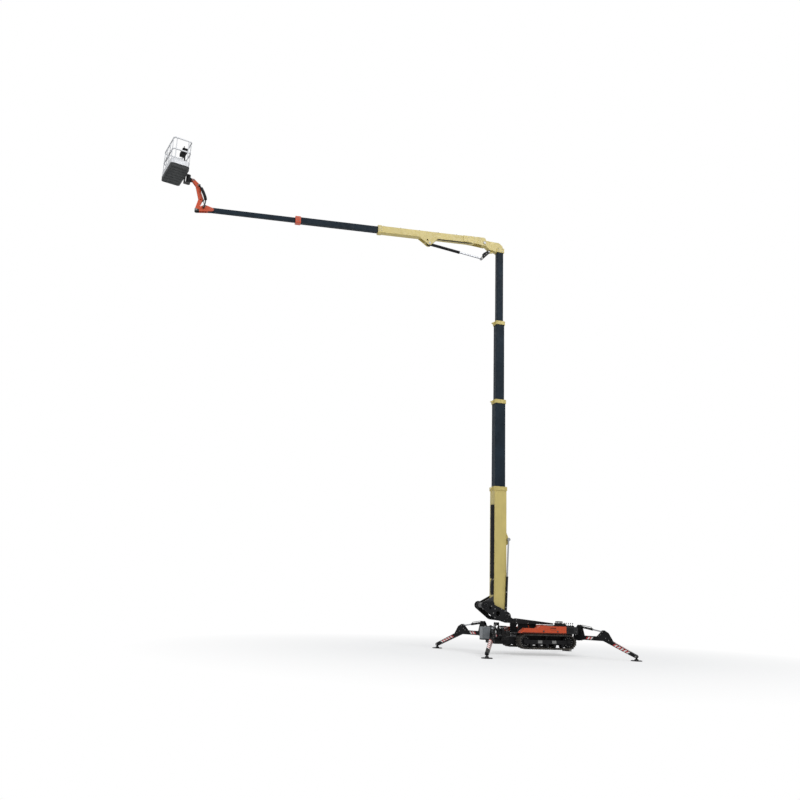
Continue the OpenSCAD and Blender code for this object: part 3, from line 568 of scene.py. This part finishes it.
trim = Piece("chassis_trim", "chassis", ZINC, "black_paint")
for side, name in zip(SIDES, ("left", "right")):
    out = (0, side, 0)
    # wheel hubs and their bolts, and plates over the rollers' axles
    low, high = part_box("track_frame_" + name)
    face = high.y if side > 0 else low.y
    for x in (TRACK_X - WHEEL_AT, TRACK_X + WHEEL_AT):
        trim.cap((x, face - side * 0.002, AXLE_Z), out, 0.066, 0.010, BLACK_PAINT, 6)
        for dx, dz in circle(0.155, 12, 0.5):
            trim.bolt((x + dx, side * (TRACK_Y + 0.0885), AXLE_Z + dz), out, 0.009)
    for x in (TRACK_X - 0.28, TRACK_X + 0.28):
        y = side * (TRACK_Y + 0.111)
        corner, other = (x - 0.085, y - 0.004, AXLE_Z - 0.055), (x + 0.085, y + 0.004, AXLE_Z + 0.045)
        trim.box(corner, other, chamfer=0.003)
        for dx in (-0.06, 0.06):
            for dz in (-0.032, 0.024):
                trim.bolt((x + dx, side * (TRACK_Y + 0.115), AXLE_Z + dz), out, 0.010)
    # side plate that closes the gap between the frame and the track
    trim.box((-0.45, side * 0.541, 0.560), (1.75, side * 0.549, 0.779), BLACK_PAINT, 0.003)
    # hood: seal, latches, grab handle and hinges
    low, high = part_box("hood_" + name)
    face = high.y if side > 0 else low.y
    seal_end = (high.x - 0.03, face + side * 0.006, low.z + 0.028)
    trim.box((low.x + 0.08, face, low.z + 0.006), seal_end, PLASTIC, 0.002)
    for x in (0.42, 0.98, 1.72):
        trim.box((x - 0.028, face, low.z + 0.055), (x + 0.028, face + side * 0.012, low.z + 0.105), PLASTIC)
        trim.bolt((x, face + side * 0.010, low.z + 0.085), out, 0.011)
    trim.tube(curve([(x, face + side * dy, high.z - 0.07) for x, dy in GRIP], 5), 0.010, PLASTIC)
    for x in (0.62, 1.10, 1.62):
        y = side * 0.645
        trim.box((x - 0.05, y - 0.015, high.z - 0.004), (x + 0.05, y + 0.015, high.z + 0.010), BLACK_PAINT)
# cabinet: hinges, latch and lid bolts
low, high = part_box("cabinet")
for z in (0.62, 0.86):
    trim.box((-1.872, low.y - 0.012, z - 0.03), (-1.852, low.y + 0.001, z + 0.03), chamfer=0.003)
trim.box((-1.575, low.y - 0.022, 0.70), (-1.545, low.y + 0.001, 0.80), PLASTIC, 0.005)
for x in (-1.86, -1.52):
    for y in (low.y + 0.02, high.y - 0.02):
        trim.bolt((x, y, high.z), UP, 0.010)
# deck bolts, and round tail lamps on the rear beam
for x in (-1.25, -0.9, 0.9, 1.3, 1.7):
    for y in (-0.415, 0.415):
        trim.bolt((x, y, DECK), UP, 0.014)
for side in SIDES:
    trim.ring((1.95, side * LAMP_Y, LAMP_Z), (1, 0, 0), LAMP_RIM, PLASTIC, 24)
trim.done()

lenses = Piece("lamp_lenses", "chassis", RED, "black_plastic")
for side in SIDES:
    lenses.ring((1.974, side * LAMP_Y, LAMP_Z), (1, 0, 0), LAMP_DOME, sides=24)
lenses.done()

# Lever cluster on the near hood, with boots, knobs and a guard behind it

HOOD_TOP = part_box("hood_left")[1].z
LEVER_Y = -0.735
BOOT = [(0.028, 0), (0.028, 0.020), (0.022, 0.028), (0.022, 0.036), (0.014, 0.050)]
KNOB = [(0.014, 0), (0.026, 0.010), (0.026, 0.040), (0.014, 0.052)]
levers = Piece("lever_cluster", "chassis", BLACK_PAINT, "black_plastic")
foot_low, foot_high = (0.93, LEVER_Y - 0.055, HOOD_TOP - 0.002), (1.28, LEVER_Y + 0.055, HOOD_TOP + 0.050)
levers.box(foot_low, foot_high, chamfer=0.008)
for k in range(5):
    foot = V((0.965 + 0.07 * k, LEVER_Y, HOOD_TOP + 0.048))
    lean = V((0.16 - 0.09 * k, -0.06, 1)).normalized()
    levers.ring(foot, UP, BOOT, PLASTIC)
    levers.tube([foot + lean * 0.03, foot + lean * 0.105], 0.011)
    levers.ring(foot + lean * 0.085, lean, KNOB, PLASTIC)
levers.box((0.94, LEVER_Y + 0.040, HOOD_TOP + 0.045), (1.27, LEVER_Y + 0.053, HOOD_TOP + 0.120))
levers.done()

# Valve block, oil tank and hoses in front of the turret, beside the lowered mast's path

COIL = [(0.021, 0), (0.021, 0.070), (0.014, 0.080), (0.014, 0.098)]
TANK_CAP = [(0.045, 0), (0.045, 0.022), (0.036, 0.030)]
VALVE_LOOP = (
    # along from the valve, y, height over the deck
    (0.0, -0.430, 0.185), (0.0, -0.430, 0.28), (0.03, -0.450, 0.355),
    (0.09, -0.510, 0.350), (0.12, -0.575, 0.24), (0.12, -0.590, 0.08),
    (0.12, -0.580, -0.06), (0.12, -0.50, -0.13), (0.12, -0.435, -0.14),
)
CABINET_RUN = (
    (-1.51, -0.47, 0.84), (-1.44, -0.47, 0.93), (-1.35, -0.46, 0.95),
    (-1.275, -0.45, 0.87), (-1.235, -0.44, 0.76),
)
valves = Piece("valve_trim", "chassis", BLACK_PAINT, "black_paint")
for side in SIDES:
    valves.box((-1.28, side * 0.39, DECK - 0.010), (-0.90, side * 0.575, DECK + 0.006))
valves.box((-1.24, -0.555, DECK), (-0.93, -0.395, DECK + 0.19), chamfer=0.010)
valves.box((-1.27, 0.395, DECK), (-0.91, 0.565, DECK + 0.33), PLASTIC, 0.030)
valves.ring((-1.09, 0.48, DECK + 0.328), UP, TANK_CAP)
for k in range(6):
    x = -1.205 + 0.048 * k
    valves.ring((x, -0.505, DECK + 0.188), UP, COIL, PLASTIC)
    valves.bolt((x, -0.555, DECK + 0.05), (0, -1, 0), 0.011, ZINC)
    valves.tube(curve([(x + dx, y, DECK + dz) for dx, y, dz in VALVE_LOOP]), 0.014, HOSE)
for k in range(4):
    valves.tube(curve([(x, y - 0.028 * k, z + 0.012 * (k % 2)) for x, y, z in CABINET_RUN]), 0.013, HOSE)
valves.done()

# Turret: ring of bolts, pin covers, flat swivel and hoses below the lowered mast

TURRET_FLOOR, CHEEK_Y = 0.74, 0.37
MAST_PIN = V((-1.64, 0, 1.69))
MAST_HUB, MAST_EYE, MAST_CYLINDER_Y = V((-0.812, 0, 1.323)), V((-0.70, 0, 4.113)), 0.28
CHEEK_BOLTS = (
    # from the hub: x, z
    (-0.06, 0.19), (-0.20, 0.26), (-0.46, 0.25), (-0.52, 0.10),
    (-0.47, -0.05), (-0.60, 0.34), (0.10, 0.06),
)
COVER_BOLTS = ((-0.46, 1.12), (-0.46, 1.22), (0.0, 1.11), (0.45, 1.10), (0.9, 1.10))
SWIVEL = [(0.17, 0), (0.17, 0.018), (0.12, 0.024), (0.12, 0.030), (0.09, 0.034)]
SWIVEL_HOSE = (
    # x, how far it spreads from the middle, z
    (0.0, 0.7, 0.755), (-0.12, 0.9, 0.755), (-0.25, 1.4, 0.755), (-0.36, 1.7, 0.754),
)
turret = Piece("turret_trim", "turret", ZINC, "black_paint")
for x, y in circle(0.455, 36, 0.5):
    if abs(abs(y) - 0.35) > 0.045:
        turret.bolt((x, y, TURRET_FLOOR), UP, 0.017)
for side in SIDES:
    out = V((0, side, 0))
    turret.cap(MAST_PIN + out * (CHEEK_Y + 0.022), out, 0.066, 0.012, BLACK_PAINT, 6)
    turret.cap(MAST_HUB + out * (CHEEK_Y + 0.020), out, 0.070, 0.012, BLACK_PAINT, 6)
    for dx, dz in CHEEK_BOLTS:
        turret.bolt(MAST_HUB + V((dx, side * CHEEK_Y, dz)), out, 0.016)
    for x, z in COVER_BOLTS:
        turret.bolt((x, side * 0.455, z), out, 0.013)
turret.ring((0.08, 0, TURRET_FLOOR), UP, SWIVEL, BLACK_PAINT, 32)
for y in (-0.13, -0.05, 0.05, 0.13):
    turret.tube(curve([(x, y * spread, z) for x, spread, z in SWIVEL_HOSE]), 0.013, HOSE)
turret.done()

# Mast: bolts and wear pads at every mouth, chain on the tray, pipes, cylinder rings

MAST_X = -1.005
MAST_DEPTH, MAST_WIDTH, DEPTH_STEP, WIDTH_STEP, COLLAR = 0.500, 0.460, 0.078, 0.070, 0.052
for i, top in enumerate((6.10, 9.55, 12.85)):
    body = "mast_%d" % i
    depth, width = MAST_DEPTH - DEPTH_STEP * i + COLLAR, MAST_WIDTH - WIDTH_STEP * i + COLLAR
    collar = Piece("collar_trim_" + body, body, CREAM_PAINT, "cream_paint")
    for z in (top - 0.115, top - 0.035):
        for k in (-1, 0, 1):
            for side in SIDES:
                collar.bolt((MAST_X + k * 0.68 * depth / 2, side * width / 2, z), (0, side, 0), 0.015)
                if k or side > 0:
                    collar.bolt((MAST_X + side * depth / 2, k * 0.68 * width / 2, z), (side, 0, 0), 0.015)
    # plastic wear pads that show above the collar
    inner_d, inner_w = depth - COLLAR - DEPTH_STEP, width - COLLAR - WIDTH_STEP
    for side in SIDES:
        x0, x1 = (MAST_X + side * (inner_d / 2 + gap) for gap in (0.0015, 0.022))
        y0, y1 = (side * (inner_w / 2 + gap) for gap in (0.0015, 0.022))
        for k in SIDES:
            x, y = MAST_X + k * inner_d * 0.27, k * inner_w * 0.27
            collar.box((x - 0.05, y0, top - 0.004), (x + 0.05, y1, top + 0.012), PLASTIC, 0.002)
            collar.box((x0, y - 0.05, top - 0.004), (x1, y + 0.05, top + 0.012), PLASTIC, 0.002)
    collar.done()

TRAY_Y, LINKS, LINK_PITCH, LINKS_FROM = -0.160, 41, 0.066, 2.70
TRAY_HOSE = (
    # out from the tray's face, sideways, z
    (0.065, 0.0, 2.68), (0.062, 0.0, 2.60), (0.030, 0.004, 2.52),
    (0.022, 0.006, 2.30), (0.028, 0.006, 2.14), (0.06, 0.008, 2.07),
)
LINK_PIN = [(0.020, 0), (0.020, 0.007), (0.014, 0.010)]
tray_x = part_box("hose_tray")[0].x
chain = Piece("hose_chain", "mast_0", PLASTIC, "black_plastic")
for i in range(LINKS):
    z = LINKS_FROM + LINK_PITCH * i
    corner, other = (tray_x + 0.004, TRAY_Y - 0.054, z), (tray_x + 0.034, TRAY_Y + 0.054, z + 0.052)
    chain.box(corner, other, chamfer=0.006)
    for side in SIDES:
        at = (tray_x + 0.030, TRAY_Y + side * 0.055, z + 0.026)
        chain.ring(at, (0, side, 0), LINK_PIN, sides=14)
for k in range(4):
    y = TRAY_Y - 0.042 + 0.028 * k
    chain.tube(curve([(tray_x + dx, y + dy, z) for dx, dy, z in TRAY_HOSE]), 0.011, HOSE)
chain.done()

EYE_COVER = [(0.040, 0), (0.040, 0.004), (0.030, 0.006)]
MAST_GLAND = [(0.0400, 0), (0.0425, 0.004), (0.0425, 0.020), (0.034, 0.026)]
MAST_STRAP = [(0.0402, 0), (0.0420, 0.003), (0.0420, 0.022), (0.0402, 0.025)]
base = Piece("mast_trim", "mast_0", ZINC, "cream_paint")
for side in SIDES:
    face = side * MAST_WIDTH / 2
    # stiffening strips welded along the foot of the mast, and the cylinder's upper pin
    for x in (-1.205, -0.805):
        base.box((x - 0.022, face - side * 0.002, 1.95), (x + 0.022, face + side * 0.006, 4.0), CREAM_PAINT)
    base.ring(MAST_EYE + V((0, side * 0.232, 0)), (0, side, 0), EYE_COVER, sides=24)
for y in (-0.06, 0.06):
    base.tube([(-0.744, y, 2.0), (-0.744, y, 5.85)], 0.011)
    for z in (2.2, 2.9, 3.5, 4.7, 5.5):
        base.box((-0.757, y - 0.02, z), (-0.741, y + 0.02, z + 0.05), BLACK_PAINT, 0.003)
base.done()

run = (MAST_EYE - MAST_HUB).normalized()
for k, side in enumerate(SIDES):
    hub = MAST_HUB + V((0, side * MAST_CYLINDER_Y, 0))
    rings = Piece("mast_gland_%d" % k, "mast_barrels", ZINC, "black_paint")
    rings.ring(hub + run * 1.412, run, MAST_GLAND, sides=28)
    for u in (0.30, 0.85):
        rings.ring(hub + run * u, run, MAST_STRAP, sides=28)
    rings.done()

# Head, rocker and boom

BOOM_PIN, ROCKER_PIN, ROCKER_EYE = V((-1.72, 0, 16.20)), V((-1.50, 0, 15.87)), V((-1.80, 0, 15.536))
DROOP = math.radians(3)
TUBE_W = 0.085
boom = Matrix.Translation(BOOM_PIN) @ Matrix.Rotation(-DROOP, 4, "Y")

head = Piece("head_trim", "mast_3", ZINC, "cream_paint")
rocker = Piece("rocker_trim", "rocker", ZINC, "black_paint")
for side in SIDES:
    out = V((0, side, 0))
    head.cap(BOOM_PIN + out * 0.150, out, 0.060, 0.014, bolts=6)
    for x, z in ((-1.09, 15.95), (-0.92, 15.95), (-1.09, 16.05), (-0.92, 16.05)):
        head.bolt((x, side * 0.145, z), out, 0.014)
    head.cap(ROCKER_PIN + out * 0.070, out, 0.040, 0.010)
    rocker.cap(ROCKER_EYE + out * 0.064, out, 0.040, 0.012, bolts=4)
    for t in (0.35, 0.6):
        rocker.bolt(ROCKER_PIN.lerp(ROCKER_EYE, t) + out * 0.064, out, 0.012)
head.done()
rocker.done()

UNDER_HOSE = (
    (-2.02, -0.060), (-1.90, -0.072), (-1.20, -0.072),
    (-0.80, -0.078), (-0.62, -0.066), (-0.52, -0.040),
)
plate = Piece("boom_trim", "boom_0", ZINC, "cream_paint")
for side in SIDES:
    out = (0, side, 0)
    for u in (-4.43, -4.52):
        for w in (-0.09, 0.0, 0.09):
            plate.bolt(boom @ V((u, side * 0.140, TUBE_W + w)), out, 0.013)
    for u, w in ((-0.20, 0.17), (-0.45, 0.17), (-0.70, 0.17), (-0.45, 0.0), (-0.75, 0.0)):
        plate.bolt(boom @ V((u, side * 0.140, w)), out, 0.013)
    plate.cap(boom @ V((-2.39, side * 0.119, -0.27)), out, 0.050, 0.014, bolts=4)
    # welded seam strips along the tube's lower corners, and wear pads at its mouth
    for start, end in ((-4.38, -2.85), (-2.03, -0.96)):
        plate.block(boom, (start, side * 0.118, -0.052), (end, side * 0.128, -0.030), CREAM_PAINT)
    for w in (TUBE_W - 0.065, TUBE_W + 0.065):
        plate.block(boom, (-4.562, side * 0.0955, w - 0.03), (-4.546, side * 0.114, w + 0.03), PLASTIC, 0.002)
# hoses along the boom's top with their clips, and two below it
for u in (-1.2, -2.0, -2.8, -3.6, -4.3):
    plate.block(boom, (u - 0.02, -0.07, 0.229), (u + 0.02, 0.07, 0.262), PLASTIC)
for y in (-0.035, 0.0, 0.035):
    plate.tube([boom @ V((-0.95, y, 0.246)), boom @ V((-4.36, y, 0.246))], 0.011, HOSE)
for y in (-0.107, -0.079):
    plate.tube(curve([boom @ V((u, y, w)) for u, w in UNDER_HOSE]), 0.014, HOSE)
plate.done()

collar = Piece("boom_collar_trim", "boom_1", ZINC, "orange_paint")
for side in SIDES:
    for u in (-7.70, -7.80):
        for w in (TUBE_W - 0.06, TUBE_W + 0.06):
            collar.bolt(boom @ V((u, side * 0.1195, w)), (0, side, 0), 0.012)
collar.done()

# Boom tip and jib: pin covers and bolts

JIB_PIN, TIP_LUG = V((-13.275, 0, 15.611)), V((-12.965, 0, 15.801))
JIB_EYE, HINGE = V((-13.305, 0, 16.631)), V((-13.495, 0, 16.801))
tip_y, jib_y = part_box("boom_tip")[1].y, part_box("jib_arm")[1].y
tip = Piece("boom_tip_trim", "boom_2", ZINC, "orange_paint")
jib = Piece("jib_trim", "jib", ZINC, "orange_paint")
for side in SIDES:
    out = V((0, side, 0))
    tip.cap(JIB_PIN + out * tip_y, out, 0.042, 0.012, bolts=4)
    tip.cap(TIP_LUG + out * tip_y, out, 0.030, 0.010)
    for u in (-10.97, -11.05):
        for w in (0.115, 0.055):
            tip.bolt(boom @ V((u, side * (tip_y - 0.010), w)), out, 0.011)
    jib.cap(HINGE + out * jib_y, out, 0.040, 0.012, bolts=4)
    jib.cap(JIB_EYE + out * (jib_y - 0.012), out, 0.030, 0.010)
    for x, z in ((-13.155, 15.95), (-13.19, 16.30)):
        jib.bolt((x, side * (jib_y - 0.012), z), out, 0.012)
tip.done()
jib.done()

# Hoses that cross the jib's pivot in a slack bow, in a sleeve, with a clamp at each end

HOSE_Y, HOSE_GAP, HOSE_WIDE, SLEEVE_RADIUS = -0.128, 0.026, 0.024, 0.058
SLEEVE_LOW, SLEEVE_HIGH = 16.02, 16.51
BOW = dict(start=(-13.030, 15.720), heading=78, parts=[(0.150, 0), (0.300, 34), (0.484, 14.4)])
sleeve = Piece("jib_sleeve", "jib", PLASTIC, "black_plastic")
middle = [(x, HOSE_Y - 0.011, z) for x, z in bent(**BOW, shift=HOSE_GAP / 2) if SLEEVE_LOW < z < SLEEVE_HIGH]
sleeve.tube(middle, SLEEVE_RADIUS, sides=16)
sleeve = sleeve.done(ride=False)
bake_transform(sleeve)
for k, (shift, y) in enumerate(((0.0, HOSE_Y), (HOSE_GAP, HOSE_Y), (HOSE_GAP / 2, HOSE_Y - HOSE_WIDE))):
    route = [V((x, y, z)) for x, z in bent(**BOW, shift=shift)]
    hose = Piece("jib_hose_%d" % k, "jib", HOSE, "black_plastic")
    hose.tube(route, HOSE_WIDE / 2)
    hose = hose.done(ride=False)
    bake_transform(hose)
CLAMPS = (
    # name, body, two corners, its bolt
    ("tip_clamp", "boom_2", (-13.055, -0.172, 15.695), (-12.980, -0.076, 15.750), (-13.017, -0.172, 15.722)),
    ("jib_clamp", "jib", (-13.275, -0.172, 16.545), (-13.215, -0.066, 16.620), (-13.245, -0.172, 16.582)),
)
for name, body, a, b, bolt in CLAMPS:
    clamp = Piece(name, body, BLACK_PAINT, "black_plastic")
    clamp.box(a, b, chamfer=0.006)
    clamp.bolt(bolt, (0, -1, 0), 0.012, ZINC)
    clamp.done()

# Basket

BASKET_AT, BASKET_TURN, BASKET_BACK = (-13.685, 0, 16.891), math.radians(15), (-0.5, 0, 0)
POST_X, POST_Y = 0.331, 0.681
CONSOLE_X = 0.3137 - 0.190
POST_SOCKET = [(0.030, 0), (0.030, 0.006), (0.024, 0.014), (0.019, 0.016)]
CABLE = (
    # x, sideways, z
    (0.23, 0.0, 0.90), (0.23, 0.0, 0.80), (0.25, 0.02, 0.62),
    (0.27, 0.01, 0.40), (0.28, 0.0, 0.18), (0.28, 0.0, 0.05),
)
basket = Matrix.Translation(BASKET_AT) @ Matrix.Rotation(BASKET_TURN, 4, "Z")
basket = basket @ Matrix.Translation(BASKET_BACK)
fit = Piece("basket_trim", "basket", ZINC, "basket_alloy")
for side in SIDES:
    for share in (-0.84, -0.28, 0.28, 0.84):
        fit.ring(basket @ V((side * POST_X, share * POST_Y, 0.045)), UP, POST_SOCKET, ALLOY, 16)
# control box: face plate, keys and hooded display
fit.block(basket, (CONSOLE_X - 0.006, -0.215, 0.905), (CONSOLE_X + 0.002, 0.215, 1.030), PLASTIC)
for i in range(5):
    key = basket @ V((CONSOLE_X - 0.004, -0.16 + 0.08 * i, 0.94))
    fit.bolt(key, basket.to_3x3() @ V((-1, 0, 0)), 0.012)
fit.block(basket, (CONSOLE_X + 0.04, -0.06, 1.038), (CONSOLE_X + 0.15, 0.06, 1.062), PLASTIC, 0.006)
# cables and a document box between the console and the floor
for y in (-0.17, -0.11):
    fit.tube(curve([basket @ V((x, y + dy, z)) for x, dy, z in CABLE]), 0.019, PLASTIC)
fit.block(basket, (0.245, -0.06, 0.30), (0.305, 0.20, 0.62), PLASTIC, 0.012)
fit.block(basket, (0.235, -0.065, 0.60), (0.312, 0.205, 0.635), PLASTIC, 0.010)
# gate bar with its hinges on the far long side
fit.tube([basket @ V((-POST_X, y, 0.575)) for y in (-0.18, 0.18)], 0.0235, ALLOY)
for y in (-0.19, 0.19):
    fit.block(basket, (-0.362, y - 0.018, 0.54), (-0.318, y + 0.018, 0.665))
# closed pan under the floor, with shallow ribs across it, in a dark grey that paints the shade under the
# basket
fit.plate(basket @ Matrix.Rotation(math.pi / 2, 4, "X"), rounded(0.345, 0.695, 0.09), -0.080, 0.004, PAN_SHADE)
for i in range(7):
    y = -0.57 + 0.19 * i
    fit.block(basket, (-0.300, y - 0.016, -0.087), (0.300, y + 0.016, -0.078), PAN_SHADE, 0.003)
fit.done()

# Floor, background and light

FLOOR_RADIUS, FLOOR_DROP, FLOOR_GREY = 220, 0.002, 0.90
GLOW_FROM, GLOW_TO, GLOW_NEAR = 5.0, 14.0, 0.5
SKY, SKY_STRENGTH = (0.93, 0.96, 1.0, 1), 0.45
PURE_WHITE = (1, 1, 1, 1)
LAMP_SIZE = 14
STUDIO = (
    # name, place, aim, power
    ("key", (6, -26, 30), (-3, 0, 7), 5100),
    ("fill", (-26, -14, 20), (-6, 0, 9), 1350),
    ("back", (4, 26, 26), (-4, 0, 8), 1750),
)


def seen_rays(tree):
    """1 for a ray that shows the background: straight, mirrored or through glass."""
    rays = tree.nodes.new("ShaderNodeLightPath").outputs
    value = rays["Is Camera Ray"]
    for kind in ("Is Glossy Ray", "Is Transmission Ray"):
        either = tree.nodes.new("ShaderNodeMath")
        either.operation = "MAXIMUM"
        tree.links.new(value, either.inputs[0])
        tree.links.new(rays[kind], either.inputs[1])
        value = either.outputs["Value"]
    return value


bm = bmesh.new()
bmesh.ops.create_circle(bm, cap_ends=True, segments=64, radius=FLOOR_RADIUS)
mesh = bpy.data.meshes.new("floor")
bm.to_mesh(mesh)
bm.free()
floor = bpy.data.objects.new("floor", mesh)
floor.location.z = -FLOOR_DROP
scene.collection.objects.link(floor)

# the floor keeps the shadow near the object and turns white farther out
ground = Tree("floor_pale")
ground.set(Base_Color=(FLOOR_GREY, FLOOR_GREY, FLOOR_GREY, 1), Roughness=0.9, Specular_IOR_Level=0.1)
glow = ground.add("ShaderNodeEmission")
glow.inputs["Color"].default_value = PURE_WHITE
blend = ground.add("ShaderNodeMixShader")
length = ground.add("ShaderNodeVectorMath", operation="LENGTH")
ground.link(ground.place, length.inputs[0])
white = ground.span(length.outputs["Value"], GLOW_FROM, GLOW_TO, GLOW_NEAR, 1.0)
ground.link(ground.math("MULTIPLY", seen_rays(ground.material.node_tree), white), blend.inputs["Fac"])
ground.link(ground.shader.outputs["BSDF"], blend.inputs[1])
ground.link(glow.outputs["Emission"], blend.inputs[2])
ground.link(blend.outputs["Shader"], ground.nodes["Material Output"].inputs["Surface"])
mesh.materials.append(ground.material)

world = bpy.data.worlds.new("studio")
scene.world = world
world.use_nodes = True
tree = world.node_tree
tree.nodes.clear()
shown = tree.nodes.new("ShaderNodeBackground")
shown.inputs["Color"].default_value = PURE_WHITE
soft = tree.nodes.new("ShaderNodeBackground")
soft.inputs["Color"].default_value = SKY
soft.inputs["Strength"].default_value = SKY_STRENGTH
either = tree.nodes.new("ShaderNodeMixShader")
output = tree.nodes.new("ShaderNodeOutputWorld")
tree.links.new(seen_rays(tree), either.inputs["Fac"])
tree.links.new(soft.outputs["Background"], either.inputs[1])
tree.links.new(shown.outputs["Background"], either.inputs[2])
tree.links.new(either.outputs["Shader"], output.inputs["Surface"])

for name, place, aim, power in STUDIO:
    light = bpy.data.lights.new(name, "AREA")
    light.size = LAMP_SIZE
    light.energy = power
    lamp = bpy.data.objects.new(name, light)
    view = (V(aim) - V(place)).to_track_quat("-Z", "Y").to_matrix().to_4x4()
    lamp.matrix_world = Matrix.Translation(place) @ view
    scene.collection.objects.link(lamp)
